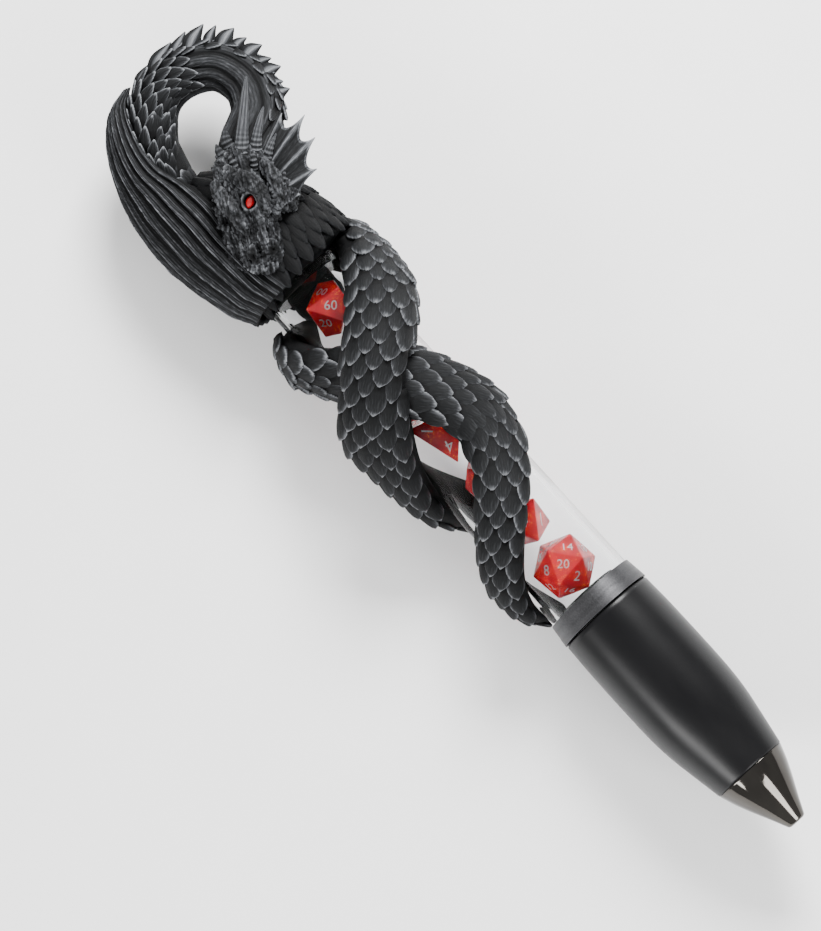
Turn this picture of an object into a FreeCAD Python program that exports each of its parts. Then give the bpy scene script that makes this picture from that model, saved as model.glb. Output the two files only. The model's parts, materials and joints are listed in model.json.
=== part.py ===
"""Dice-holding twist pen: a cast dragon wound round a clear barrel of seven dice, with a screw-off grip.

Frame: +X runs along the pen to its point, +Z up, millimetres. The pen lies on its back. The origin is on
the table, on the sanded flat of the casting, straight under the clear barrel's upper end.
"""
import FreeCAD, Part
import math
import os
import re
import Sketcher

V = FreeCAD.Vector

SIZES = {
    # whole pen
    "axis_height": 21.6,          # barrel axis above the table
    "glue_gap": 0.45,             # glue line between the barrel and the casting
    "run_gap": 0.08,              # radial clearance of a turning or sliding fit
    "free_gap": 0.3,              # clearance between parts that only pass each other
    # clear barrel
    "barrel_length": 125.4,
    "barrel_radius": 13.5,
    "barrel_wall": 2.5,
    "barrel_end_wall": 2.5,
    "chamber_length": 116.5,
    # collar and bulkhead
    "collar_start": 120.0,
    "collar_length": 6.5,
    "collar_wall_back": 0.6,
    "collar_wall_front": 1.4,
    "collar_web": 0.8,
    "spigot_radius": 8.9,
    "flange_radius": 12.0,
    "flange_length": 2.0,
    "hub_radius": 9.0,
    "hub_length": 11.5,
    # grip
    "grip_length": 59.2,
    "grip_back_radius": 14.5,
    "grip_swell_radius": 15.0,
    "grip_front_radius": 11.2,
    "core_radius": 10.6,
    "core_web_end": 177.0,
    # point mechanism
    "cam_radius": 6.2,
    "cam_bore": 4.6,
    "cam_length": 30.0,
    "pin_radius": 1.2,
    "pin_place": 149.5,
    "pin_reach": 8.4,
    "twist_angle": 180.0,
    "point_travel": 3.5,
    "holder_length": 17.0,
    "holder_floor": 1.2,
    # refill
    "refill_length": 67.0,
    "refill_radius": 1.175,
    "refill_plug_length": 9.5,
    "refill_plug_radius": 2.65,
    "refill_point_length": 10.6,
    "refill_tip_radius": 0.5,
    "refill_setback": 2.0,
    # nose
    "nose_length": 19.3,
    "nose_spigot_radius": 9.5,
    "nose_spigot_length": 8.0,
    "nose_tip_radius": 2.5,
    "nose_bore": 1.45,
    # dragon
    "body_width": 21.0,
    "body_thickness": 8.0,
    "tail_width": 17.0,
    "tail_thickness": 7.6,
    "crossing_thickness": 4.6,    # the tail is squeezed to this where the body lies over it
    "neck_radius": 7.0,
    "head_height": 18.5,          # head axis above the barrel axis
    "horn_radius": 2.2,
    "frill_thickness": 1.6,
    "wing_thickness": 17.0,
    "eye_radius": 1.9,
    # dice, point to point or across the flats as each kind is sold
    "die_20_size": 18.8,
    "die_12_size": 18.0,
    "die_10_size": 16.6,
    "die_8_size": 17.4,
    "die_6_size": 15.0,
    "die_4_edge": 17.0,
}

doc = FreeCAD.newDocument("dice_pen")
sheet = doc.addObject("Spreadsheet::Sheet", "Sizes")
for row, (alias, value) in enumerate(SIZES.items(), start=1):
    sheet.set(f"A{row}", alias)
    sheet.set(f"B{row}", str(value))
    sheet.setAlias(f"B{row}", alias)
doc.recompute()


def bound(expression):
    """The expression with each size name written as its spreadsheet cell."""
    def cell(word):
        return "Sizes." + word[0] if word[0] in SIZES else word[0]
    return re.sub(r"[a-z][a-z0-9_]*", cell, expression)


def value(expression):
    """The number that an expression over the sheet's sizes gives now."""
    result = sheet.evalExpression(bound(expression))
    return float(getattr(result, "Value", result))


def add_outline(body, name, points):
    """A closed sketch in the body's XZ plane, every corner driven by two expressions over the sheet."""
    plane = next(o for o in body.Origin.OriginFeatures if o.Role == "XZ_Plane")
    sketch = body.newObject("Sketcher::SketchObject", name)
    sketch.AttachmentSupport = [(plane, "")]
    sketch.MapMode = "FlatFace"
    corners = [V(value(along), value(out), 0) for along, out in points]
    for i, corner in enumerate(corners):
        sketch.addGeometry(Part.LineSegment(corner, corners[(i + 1) % len(corners)]), False)
    for i in range(len(corners)):
        sketch.addConstraint(Sketcher.Constraint("Coincident", i, 2, (i + 1) % len(corners), 1))
    for i, (along, out) in enumerate(points):
        for kind, text, number in (("DistanceX", along, corners[i].x), ("DistanceY", out, corners[i].y)):
            index = sketch.addConstraint(Sketcher.Constraint(kind, -1, 1, i, 1, number))
            sketch.setExpression(f"Constraints[{index}]", bound(text))
    return sketch


def turned(label, points):
    """A round piece turned about the barrel axis from its half outline of (along, radius) expressions."""
    body = doc.addObject("PartDesign::Body", label)
    sketch = add_outline(body, label + "_outline", points)
    turn = body.newObject("PartDesign::Revolution", label + "_turn")
    turn.Profile = sketch
    turn.ReferenceAxis = (sketch, ["H_Axis"])
    turn.Angle = 360
    body.setExpression("Placement.Base.z", bound("axis_height"))
    return body


def cut(label, base, tool):
    """A named piece: the base with the tool taken out."""
    result = doc.addObject("Part::Cut", label)
    result.Base = base
    result.Tool = tool
    return result


def radial_pin(name, radius, start, reach):
    """A round bar along +Z at the key pin's place, from one radius out to another."""
    bar = doc.addObject("Part::Cylinder", name)
    bar.setExpression("Radius", bound(radius))
    bar.setExpression("Height", bound(f"({reach}) - ({start})"))
    bar.setExpression("Placement.Base.x", bound("pin_place"))
    bar.setExpression("Placement.Base.z", bound(f"axis_height + {start}"))
    return bar


# ---- clear barrel: a thick acrylic tube with one moulded end, open at the collar ----

bore = "barrel_radius - barrel_wall"
barrel_tube = turned("barrel_tube", [
    ("0", bore),
    ("barrel_length", bore),
    ("barrel_length", "barrel_radius"),
    ("0", "barrel_radius"),
])
barrel_end_disc = turned("barrel_end_disc", [
    ("0", "0"),
    ("barrel_end_wall", "0"),
    ("barrel_end_wall", f"{bore} - 0.05"),
    ("0", f"{bore} - 0.05"),
])

# ---- collar: the metal ring that screws on the barrel, and the bulkhead pressed into it ----

collar_end = "collar_start + collar_length"
web_start = f"{collar_end} - collar_web"
collar_ring = turned("collar_ring", [
    ("collar_start", "barrel_radius + run_gap"),
    (web_start, "barrel_radius + run_gap"),
    (web_start, "spigot_radius"),
    (collar_end, "spigot_radius"),
    (collar_end, "barrel_radius + collar_wall_front"),
    ("collar_start", "barrel_radius + collar_wall_back"),
])
chamber_floor = "barrel_end_wall + chamber_length"
flange_end = f"{collar_end} + flange_length"
cup_floor = f"{flange_end} + 1"
hub_end = f"{flange_end} + hub_length"
bulkhead = turned("bulkhead", [
    (chamber_floor, "0"),
    (chamber_floor, "spigot_radius"),
    (collar_end, "spigot_radius"),
    (collar_end, "flange_radius"),
    (flange_end, "flange_radius"),
    (flange_end, "hub_radius"),
    (hub_end, "hub_radius"),
    (hub_end, "cam_radius"),
    (cup_floor, "cam_radius"),
    (cup_floor, "0"),
])

# ---- cam sleeve: fixed in the bulkhead, its helical slot drives the key pin along as the grip turns ----

slot_lead = 20                    # degrees of slot beyond the pin's centre at each end
cam_body = turned("cam_sleeve", [
    (cup_floor, "cam_bore"),
    (f"{cup_floor} + cam_length", "cam_bore"),
    (f"{cup_floor} + cam_length", "cam_radius"),
    (cup_floor, "cam_radius"),
])
doc.recompute()
slot_half = "pin_radius + free_gap"
slot_back = f"pin_place - point_travel * {slot_lead} / twist_angle"
slot_sketch = add_outline(cam_body, "cam_slot_outline", [
    (f"{slot_back} - ({slot_half})", "cam_bore - 1"),
    (f"{slot_back} + {slot_half}", "cam_bore - 1"),
    (f"{slot_back} + {slot_half}", "cam_radius + 1"),
    (f"{slot_back} - ({slot_half})", "cam_radius + 1"),
])
doc.recompute()
slot = cam_body.newObject("PartDesign::SubtractiveHelix", "cam_slot")
slot.Profile = slot_sketch
slot.ReferenceAxis = (slot_sketch, ["H_Axis"])
slot.Mode = 0
slot.setExpression("Pitch", bound("point_travel * 360 / twist_angle"))
slot.setExpression("Height", bound(f"point_travel * (twist_angle + 2 * {slot_lead}) / twist_angle"))
cam_body.Placement.Rotation = FreeCAD.Rotation(V(1, 0, 0), -slot_lead)

# ---- grip: a turned core that carries the point mechanism, inside a soft swelled sleeve ----

grip_start = f"{collar_end} + free_gap"
grip_end = f"{grip_start} + grip_length"
shoulder_bore_end = f"{flange_end} + free_gap"
grip_sleeve = turned("grip_sleeve", [
    (grip_start, "flange_radius + free_gap"),
    (shoulder_bore_end, "flange_radius + free_gap"),
    (shoulder_bore_end, "core_radius"),
    (grip_end, "core_radius"),
    (grip_end, "grip_front_radius"),
    (f"{grip_end} - grip_length * 0.09", "grip_front_radius + 1.3"),
    (f"{grip_end} - grip_length * 0.19", "grip_front_radius + 2.4"),
    (f"{grip_end} - grip_length * 0.31", "grip_swell_radius - 0.5"),
    (f"{grip_end} - grip_length * 0.45", "grip_swell_radius"),
    (f"{grip_start} + grip_length * 0.2", "grip_swell_radius"),
    (grip_start, "grip_back_radius"),
])
guide_start = f"{hub_end} + free_gap"
core_turned = turned("grip_core_turned", [
    (shoulder_bore_end, "hub_radius + run_gap"),
    (guide_start, "hub_radius + run_gap"),
    (guide_start, "cam_radius + free_gap"),
    ("core_web_end", "cam_radius + free_gap"),
    ("core_web_end", "nose_spigot_radius + run_gap"),
    (f"{grip_end} - free_gap", "nose_spigot_radius + run_gap"),
    (f"{grip_end} - free_gap", "core_radius"),
    (shoulder_bore_end, "core_radius"),
])
key_way = doc.addObject("Part::Box", "key_way")
key_way.setExpression("Length", bound(f"point_travel + 2 * ({slot_half})"))
key_way.setExpression("Width", bound(f"2 * ({slot_half})"))
key_way.setExpression("Height", bound("pin_reach + free_gap - cam_radius"))
key_way.setExpression("Placement.Base.x", bound(f"pin_place - ({slot_half})"))
key_way.setExpression("Placement.Base.y", bound(f"-({slot_half})"))
key_way.setExpression("Placement.Base.z", bound("axis_height + cam_radius"))
grip_core = cut("grip_core", core_turned, key_way)

# ---- refill, its holder and the key pin ----

nose_end = f"{grip_end} + nose_length"
refill_end = f"{nose_end} - refill_setback"
refill_start = f"{refill_end} - refill_length"
holder_start = f"{refill_start} - holder_floor"
plug_bore = "refill_plug_radius + run_gap"
holder_turned = turned("refill_holder_turned", [
    (holder_start, "0"),
    (holder_start, "cam_bore - run_gap"),
    (f"{holder_start} + holder_length", "cam_bore - run_gap"),
    (f"{holder_start} + holder_length", plug_bore),
    (refill_start, plug_bore),
    (refill_start, "0"),
])
pin_hole = radial_pin("key_pin_hole", "pin_radius", plug_bore, "cam_radius")
refill_holder = cut("refill_holder", holder_turned, pin_hole)
key_pin = radial_pin("key_pin", "pin_radius", f"{plug_bore} + 0.1", "pin_reach")

plug_end = f"{refill_start} + refill_plug_length"
rod_end = f"{refill_end} - refill_point_length"
refill_plug = turned("refill_plug", [
    (refill_start, "0"),
    (refill_start, "refill_plug_radius - 0.4"),
    (f"{refill_start} + 1", "refill_plug_radius"),
    (f"{refill_start} + 6", "refill_plug_radius - 0.25"),
    (f"{refill_start} + 6.4", "refill_radius + 0.7"),
    (plug_end, "refill_radius + 0.5"),
    (plug_end, "0"),
])
refill_tube = turned("refill_tube", [
    (plug_end, "0"),
    (plug_end, "refill_radius"),
    (rod_end, "refill_radius"),
    (rod_end, "0"),
])
refill_point = turned("refill_point", [
    (rod_end, "0"),
    (rod_end, "refill_radius - 0.05"),
    (f"{refill_end} - 2.4", "refill_radius - 0.05"),
    (f"{refill_end} - 0.3", "refill_tip_radius"),
    (refill_end, "0.25"),
    (refill_end, "0"),
])

# ---- nose cone: turned, screws into the grip core ----

nose_cone = turned("nose_cone", [
    (f"{grip_end} - nose_spigot_length", "refill_plug_radius + 0.6"),
    (f"{grip_end} - nose_spigot_length", "nose_spigot_radius"),
    (grip_end, "nose_spigot_radius"),
    (grip_end, "grip_front_radius"),
    (f"{nose_end} - nose_length * 0.78", "nose_tip_radius + 7.1"),
    (f"{nose_end} - nose_length * 0.54", "nose_tip_radius + 5.1"),
    (f"{nose_end} - nose_length * 0.29", "nose_tip_radius + 2.8"),
    (f"{nose_end} - 1", "nose_tip_radius + 0.8"),
    (nose_end, "nose_tip_radius"),
    (nose_end, "nose_bore"),
    (f"{nose_end} - nose_length * 0.5", "nose_bore"),
    (f"{nose_end} - nose_length * 0.6", "refill_plug_radius + 0.6"),
])
doc.recompute()


# ---- dragon: a cast resin figure, here as plain solids of the true outer size ----


def size(alias):
    """One of the sheet's sizes as a number, for the shapes computed below."""
    return float(sheet.get(alias))


AXIS = size("axis_height")
seat_radius = size("barrel_radius") + size("glue_gap")
barrel_room = Part.makeCylinder(seat_radius, size("barrel_length") + 30, V(0, 0, AXIS), V(1, 0, 0))


def feature(label, shape):
    """A computed shape as a named piece of the document."""
    piece = doc.addObject("Part::Feature", label)
    piece.Shape = shape
    return piece


def outward(solid):
    """The solid with its faces looking out."""
    if solid.isInside(V(0, 0, 10000), 0.001, True):
        solid.reverse()
    return solid


def carve(base, *tools):
    """The largest solid left of a base when each tool in turn is taken from it."""
    for tool in tools:
        base = outward(max(base.cut(tool).Solids, key=lambda solid: solid.Volume))
    return base


def between(stations, x):
    """Straight-line value at x in a list of (x, value) stations."""
    for (x0, v0), (x1, v1) in zip(stations, stations[1:]):
        if x <= x1:
            share = max(0.0, (x - x0) / (x1 - x0))
            return v0 + (v1 - v0) * share
    return stations[-1][1]


def on_barrel(x, angle, radius):
    """The point at a place along the barrel, an angle from +Y towards +Z, and a radius."""
    turn = math.radians(angle)
    return V(x, radius * math.cos(turn), AXIS + radius * math.sin(turn))


def coil_section(x, angle, inner, thickness, half_width):
    """A D-shaped slice of a coil lying on the barrel: an arc inside and a swelled curve outside."""
    spread = math.degrees(half_width / (inner + thickness / 2))
    seat = Part.Arc(*(on_barrel(x, angle + spread * s, inner) for s in (-1, 0, 1))).toShape()
    back = Part.BSplineCurve()
    back.interpolate([
        on_barrel(x, angle + spread * s, inner + thickness * max(0, 1 - abs(s) ** 3) ** 0.5)
        for s in (1, 0.8, 0.4, 0, -0.4, -0.8, -1)
    ])
    return Part.Wire([seat, back.toShape()])


def coil(stations, angles, inner_radii, thicknesses, half_widths):
    """A coil of the dragon lofted through its slices along the barrel."""
    wires = [
        coil_section(x, *(between(table, x) for table in (angles, inner_radii, thicknesses, half_widths)))
        for x in stations
    ]
    return outward(Part.makeLoft(wires, True, False))


def span(first, last, steps):
    """Evenly spaced numbers from first to last."""
    return [first + (last - first) * i / steps for i in range(steps + 1)]


tail_back = size("tail_thickness")
flat_tail = size("crossing_thickness")
tail_half = size("tail_width") / 2
tail_shape = coil(
    span(9, size("collar_start") - size("free_gap") * 2, 26),
    [(9, 214), (14, 192), (20, 172), (27, 141), (35, 106), (45, 74), (55, 50), (62, 43), (70, 52), (78, 70),
     (84, 86), (92, 114), (100, 148), (106, 176), (114, 208), (121, 232)],
    [(0, seat_radius), (130, seat_radius)],
    [(9, 5), (18, tail_back), (26, flat_tail), (48, flat_tail), (58, tail_back), (106, tail_back - 0.6), (121, 3)],
    [(9, tail_half * 0.9), (20, tail_half * 1.25), (50, tail_half * 1.3), (84, tail_half * 1.2),
     (106, tail_half * 1.15), (121, tail_half * 0.4)],
)
body_back = size("body_thickness")
body_half = size("body_width") / 2
over_tail = seat_radius + flat_tail + 0.3
body_shape = coil(
    span(0.2, 88, 24),
    [(0, -18), (7, 8), (20, 49), (34, 90), (46, 132), (58, 166), (66, 192), (76, 226), (84, 254), (88, 264)],
    [(0, seat_radius), (8, seat_radius), (20, over_tail), (48, over_tail), (60, seat_radius + 0.2),
     (64, seat_radius), (90, seat_radius)],
    [(0, body_back + 0.7), (60, body_back - 0.4), (84, size("axis_height") - seat_radius), (88, 6)],
    [(0, body_half * 1.15), (20, body_half * 1.35), (34, body_half * 1.35), (58, body_half * 1.3),
     (76, body_half), (88, body_half * 0.45)],
)


RING = 14                         # corners in each slice of a limb


def oval(centre, along, half_across, half_deep, corners=RING):
    """The corners of an ellipse square to a direction, its second half-size as near to +Z as it can be."""
    along = V(along).normalize()
    across = V(0, 0, 1).cross(along).normalize()
    up = along.cross(across)
    turns = [2 * math.pi * (i + 0.5) / corners for i in range(corners)]
    return [centre + across * (half_across * math.cos(t)) + up * (half_deep * math.sin(t)) for t in turns]


def limb(rings):
    """A flat-faced solid over a row of rings with the same number of corners."""
    faces = [Part.Face(Part.makePolygon(ring + ring[:1])) for ring in (rings[0], rings[-1])]
    for near, far in zip(rings, rings[1:]):
        for i in range(len(near)):
            j = (i + 1) % len(near)
            faces.append(Part.Face(Part.makePolygon([near[i], near[j], far[j], near[i]])))
            faces.append(Part.Face(Part.makePolygon([near[i], far[j], far[i], near[i]])))
    return outward(Part.makeSolid(Part.makeShell(faces)))


def limb_along(stations):
    """A rounded limb through (x, y, height over the barrel axis, half across, half deep) stations."""
    centres = [V(x, y, AXIS + up) for x, y, up, _, _ in stations]
    rings = []
    for i, (_, _, _, half_across, half_deep) in enumerate(stations):
        along = centres[min(i + 1, len(centres) - 1)] - centres[max(i - 1, 0)]
        rings.append(oval(centres[i], along, half_across, half_deep))
    return limb(rings)


def spike(base, tip, radius):
    """A seven-sided spike from its base centre to its blunt tip, heights over the barrel axis."""
    base, tip = V(*base) + V(0, 0, AXIS), V(*tip) + V(0, 0, AXIS)
    return limb([oval(base, tip - base, radius, radius, 7), oval(tip, tip - base, 0.35, 0.35, 7)])


neck = size("neck_radius")
head_up = size("head_height")

shoulder_shape = limb([
    oval(V(x, y, AXIS + up), V(1, 0, 0), half_y, half_z)
    for x, y, up, half_y, half_z in (
        (-46, -8, -4, 6.6, 8), (-34, -3, -3, 12, 13), (-20, 0, 0, 15.5, 16.5), (-9, 2, 0, 17.5, 18),
        (0, 4, 0, 17.5, 18.8))
])
pour_flat = Part.makeBox(50, 17, AXIS - seat_radius, V(-42, -8.5, 0))
shoulder_shape = outward(shoulder_shape.fuse(pour_flat).Solids[0])

neck_shape = limb_along([
    (-46, -8, -3, neck, neck), (-48, -8, -3, neck, neck), (-57, -4.6, -1, neck, neck), (-65.8, 3, 0, neck, neck),
    (-66.6, 13, 0, neck, neck), (-61.5, 22.5, 1, neck, neck), (-52, 25.8, 3, neck, neck),
    (-43, 22.2, 7, neck, neck), (-37.5, 14, 12, neck, neck), (-34.5, 9, 15, neck, neck),
])

wing_deep = size("wing_thickness") / 2
wing_shape = limb_along([
    (-73.6, -3.2, 0, 0.9, wing_deep * 0.4), (-68, -10, 0, 3, wing_deep * 0.7), (-58, -16.1, 0, 4, wing_deep),
    (-48, -19.6, 0, 4, wing_deep), (-38, -20.4, 0, 4.6, wing_deep), (-28, -20.6, 0, 4.6, wing_deep),
    (-18, -20, 0, 4.2, wing_deep), (-8, -19, 0, 3.2, wing_deep), (-0.4, -17.8, 0, 2.4, wing_deep * 0.9)])

head_shape = carve(limb_along([
    (-34.6, 10, head_up - 0.5, 6.5, 6), (-27.6, 6, head_up, 9.5, 8), (-21.6, 3, head_up, 9.8, 8.3),
    (-14.6, -1.3, head_up - 0.5, 7.8, 7), (-9.1, -4.3, head_up - 1, 5.8, 5.6),
    (-5.9, -6, head_up - 1.3, 3.8, 3.8),
]), neck_shape, shoulder_shape)
eye_centre = V(-21.9, 3.5, AXIS + head_up + 7.6)
eye_shape = Part.makeCone(size("eye_radius"), 0.9, 1.5, eye_centre, V(0, 0, 1))
head_shape = carve(head_shape, eye_shape)

horn_up = head_up + 4.2
horns_shape = Part.makeCompound([
    carve(spike(base + (horn_up - 1,), tip + (horn_up + 1,), radius), head_shape, neck_shape)
    for base, tip, radius in (
        ((-33.6, 10), (-49.1, 26), size("horn_radius")), ((-33.1, 13.5), (-39.6, 23.5), 1.3),
        ((-28.6, 12), (-31.6, 21), 1.2))
])
cheek_shape = Part.makeCompound([
    carve(spike(base + (head_up - 1,), tip + (head_up - 1,), 1.3), head_shape, neck_shape)
    for base, tip in (((-23.6, -2), (-28.6, -5.2)), ((-28.6, 1), (-33.6, -1.5)), ((-31.6, 4), (-37.1, 1.5)),
                      ((-35.6, 8), (-42.4, 9.5)))
])
frill_points = [(-27.6, 10), (-32.1, 18), (-35.1, 27), (-32.9, 26.3), (-30.6, 30.8), (-27.6, 27), (-24.4, 28.7),
                (-20.8, 24), (-17.6, 23.2), (-18.4, 19), (-17.4, 15.5), (-14.6, 6)]
frill_low = AXIS + head_up - 0.4
frill_face = Part.Face(Part.makePolygon([V(x, y, frill_low) for x, y in frill_points + frill_points[:1]]))
frill_shape = frill_face.extrude(V(0, 0, size("frill_thickness")))
frill_shape = carve(frill_shape, head_shape, neck_shape, *horns_shape.Solids)

crest_shape = Part.makeCompound([
    carve(spike(base, tip, 2), neck_shape)
    for base, tip in (((-72, 10, 0), (-74.6, 17.5, 0)), ((-69.5, 20, 0), (-72.5, 27, 0)),
                      ((-64, 27, 1), (-65.5, 32.5, 1)), ((-57, 30, 2), (-56.5, 35, 2)),
                      ((-50, 30.5, 4), (-48.5, 35, 4)), ((-44, 28, 7), (-42, 33, 7)))
])

dragon = [
    feature("shoulder", shoulder_shape),
    feature("neck_loop", neck_shape),
    feature("folded_wing", wing_shape),
    feature("body_coil", body_shape),
    feature("tail_coil", tail_shape),
    feature("head", head_shape),
    feature("horns", horns_shape),
    feature("cheek_spikes", cheek_shape),
    feature("ear_frill", frill_shape),
    feature("crest_spines", crest_shape),
    feature("eye_gem", eye_shape),
]

# ---- dice: seven convex solids stacked along the barrel, each free to roll about its own lengthwise axis ----

GOLDEN = (1 + 5 ** 0.5) / 2


def signs(*numbers):
    """Every sign combination of a point."""
    points = [()]
    for number in numbers:
        points = [p + (s * number,) for p in points for s in ((1, -1) if number else (1,))]
    return points


def turned_round(points):
    """Each point with its coordinates moved round cyclically."""
    return [p[i:] + p[:i] for p in points for i in range(3)]


def trapezohedron():
    """The ten-kite solid of the ten-sided dice: a zigzag belt and two points."""
    step = math.pi / 5
    lift = (1 - math.cos(step)) / (1 + math.cos(step))
    belt = [(math.cos(step * i), math.sin(step * i), lift * (-1) ** i) for i in range(10)]
    return belt + [(0, 0, 1), (0, 0, -1)]


def scaled(points, radius):
    """The points as vectors about the origin, the furthest at the given radius."""
    vectors = [V(*p) for p in points]
    furthest = max(v.Length for v in vectors)
    return [v * (radius / furthest) for v in vectors]


def face_loops(points):
    """The corner lists of a convex solid's faces, found from the planes with every point on one side."""
    loops = {}
    for i, a in enumerate(points):
        for j, b in enumerate(points[i + 1:], start=i + 1):
            for c in points[j + 1:]:
                normal = (b - a).cross(c - a).normalize()
                sides = [normal.dot(p - a) for p in points]
                if max(sides) > 1e-5 and min(sides) < -1e-5:
                    continue
                ring = [n for n, side in enumerate(sides) if abs(side) < 1e-5]
                loops[tuple(ring)] = normal if max(sides) < 1e-5 else normal * -1
    ordered = []
    for ring, normal in loops.items():
        middle = sum((points[n] for n in ring), V()) * (1 / len(ring))
        first = (points[ring[0]] - middle).normalize()
        second = normal.cross(first)
        ordered.append(sorted(ring, key=lambda n: math.atan2((points[n] - middle).dot(second),
                                                             (points[n] - middle).dot(first))))
    return ordered


def convex_solid(points):
    """A solid with flat faces over its corner points."""
    faces = [
        Part.Face(Part.makePolygon([points[n] for n in loop + loop[:1]])) for loop in face_loops(points)
    ]
    return outward(Part.makeSolid(Part.makeShell(faces)))


icosahedron = turned_round(signs(0, 1, GOLDEN))
dodecahedron = signs(1, 1, 1) + turned_round(signs(0, 1 / GOLDEN, GOLDEN))
octahedron = turned_round(signs(0, 0, 1))
cube = signs(1, 1, 1)
tetrahedron = [(1, 1, 1), (1, -1, -1), (-1, 1, -1), (-1, -1, 1)]


def face_up(points, face, spin):
    """The points turned so that one face looks up, then spun about the vertical."""
    loop = face_loops(points)[face]
    normal = (points[loop[1]] - points[loop[0]]).cross(points[loop[2]] - points[loop[1]]).normalize()
    upright = FreeCAD.Rotation(V(0, 0, 1), spin) * FreeCAD.Rotation(normal, V(0, 0, 1))
    return [upright.multVec(p) for p in points]


d4_radius = size("die_4_edge") * 6 ** 0.5 / 4
d6_radius = size("die_6_size") * 3 ** 0.5 / 2
dice = [    # name, corners, distance of a corner from the centre, face that looks up, spin
    ("die_00", trapezohedron(), size("die_10_size") / 2, 0, 20),
    ("die_12", dodecahedron, size("die_12_size") / 2, 0, 0),
    ("die_6", cube, d6_radius, 0, 0),
    ("die_4", tetrahedron, d4_radius, 0, 120),
    ("die_10", trapezohedron(), size("die_10_size") / 2, 1, 70),
    ("die_8", octahedron, size("die_8_size") / 2, 0, 10),
    ("die_20", icosahedron, size("die_20_size") / 2, 0, 0),
]
placed = [(name, face_up(scaled(corners, radius), face, spin)) for name, corners, radius, face, spin in dice]
lengths = [max(p.x for p in points) - min(p.x for p in points) for _, points in placed]
play = (size("chamber_length") - sum(lengths)) / (len(placed) + 1)
print("dice play", round(play, 3), [round(n, 2) for n in lengths])
bore_radius = size("barrel_radius") - size("barrel_wall")
x = size("barrel_end_wall")
for (name, points), length in zip(placed, lengths):
    x += play
    reach = max(math.hypot(p.y, p.z) for p in points)
    middle = V(x - min(p.x for p in points), 0, AXIS - (bore_radius - size("free_gap") - reach))
    feature(name, convex_solid([p + middle for p in points]))
    print(name, "centre", [round(c, 3) for c in middle], "reach", round(reach, 2))
    dragon.append(doc.getObject(name))
    x += length

# ---- check the document and write the pieces ----

doc.recompute()
pieces = dragon + [
    barrel_tube, barrel_end_disc, collar_ring, bulkhead, cam_body, grip_sleeve, grip_core,
    refill_holder, key_pin, refill_plug, refill_tube, refill_point, nose_cone,
]
for thing in doc.Objects:
    if {"Invalid", "Error"} & set(thing.State):
        raise RuntimeError(f"{thing.Label} failed to compute: {thing.State}")
for piece in pieces:
    if piece.Shape.isNull() or not piece.Shape.isValid():
        raise RuntimeError(f"{piece.Label} has no valid shape")
os.makedirs("parts", exist_ok=True)
for piece in pieces:
    piece.Shape.exportStep(f"parts/{piece.Label}.step")
    print(f"{piece.Label:16s} solids {len(piece.Shape.Solids)} volume {piece.Shape.Volume:9.1f}")
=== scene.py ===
import json
import math
import bmesh
import bpy
import numpy as np
from mathutils import Matrix, Vector
from mathutils.kdtree import KDTree
from mathutils.noise import noise as plain_noise

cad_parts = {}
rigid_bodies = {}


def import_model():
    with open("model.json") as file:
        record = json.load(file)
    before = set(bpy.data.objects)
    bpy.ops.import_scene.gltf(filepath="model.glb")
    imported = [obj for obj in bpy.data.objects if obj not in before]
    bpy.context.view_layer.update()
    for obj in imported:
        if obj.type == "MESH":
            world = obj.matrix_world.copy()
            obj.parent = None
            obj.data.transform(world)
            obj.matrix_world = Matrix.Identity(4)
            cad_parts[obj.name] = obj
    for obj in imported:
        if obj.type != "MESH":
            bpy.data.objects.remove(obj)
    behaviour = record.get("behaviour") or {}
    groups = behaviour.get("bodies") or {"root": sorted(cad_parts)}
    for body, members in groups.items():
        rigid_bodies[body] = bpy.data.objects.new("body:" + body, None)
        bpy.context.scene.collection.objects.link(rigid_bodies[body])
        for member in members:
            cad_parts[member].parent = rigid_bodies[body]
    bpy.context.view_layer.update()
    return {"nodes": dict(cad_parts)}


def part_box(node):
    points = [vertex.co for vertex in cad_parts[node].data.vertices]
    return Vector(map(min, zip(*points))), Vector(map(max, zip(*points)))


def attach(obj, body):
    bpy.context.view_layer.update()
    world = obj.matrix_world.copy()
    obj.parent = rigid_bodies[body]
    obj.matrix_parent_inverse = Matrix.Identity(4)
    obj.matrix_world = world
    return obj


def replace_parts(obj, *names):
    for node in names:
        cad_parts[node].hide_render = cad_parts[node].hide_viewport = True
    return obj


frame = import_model()
nodes = frame["nodes"]
MM = 0.001


# ---------------------------------------------------------------- the barrel
# The real piece is a thick clear acrylic tube, polished, with a bonded clear disc closing its upper end.
# It is extruded and faced; the dice chamber is its bore. Both stay as turned in the frame.
barrel_low, barrel_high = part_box("barrel_tube")
AXIS = (barrel_low[2] + barrel_high[2]) / 2
BARREL_RADIUS = (barrel_high[2] - barrel_low[2]) / 2


def new_material(name):
    """An empty node material and its surface shader."""
    material = bpy.data.materials.new(name)
    material.use_nodes = True
    return material, material.node_tree.nodes["Principled BSDF"]


def add(material, kind, **settings):
    """A node of a material with its plain settings and its unlinked inputs filled in."""
    node = material.node_tree.nodes.new(kind)
    for key, setting in settings.items():
        if hasattr(node, key):
            setattr(node, key, setting)
        else:
            node.inputs[key.replace("_", " ").title()].default_value = setting
    return node


def wire(material, start, end):
    """Links an output socket to an input socket."""
    material.node_tree.links.new(start, end)


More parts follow.
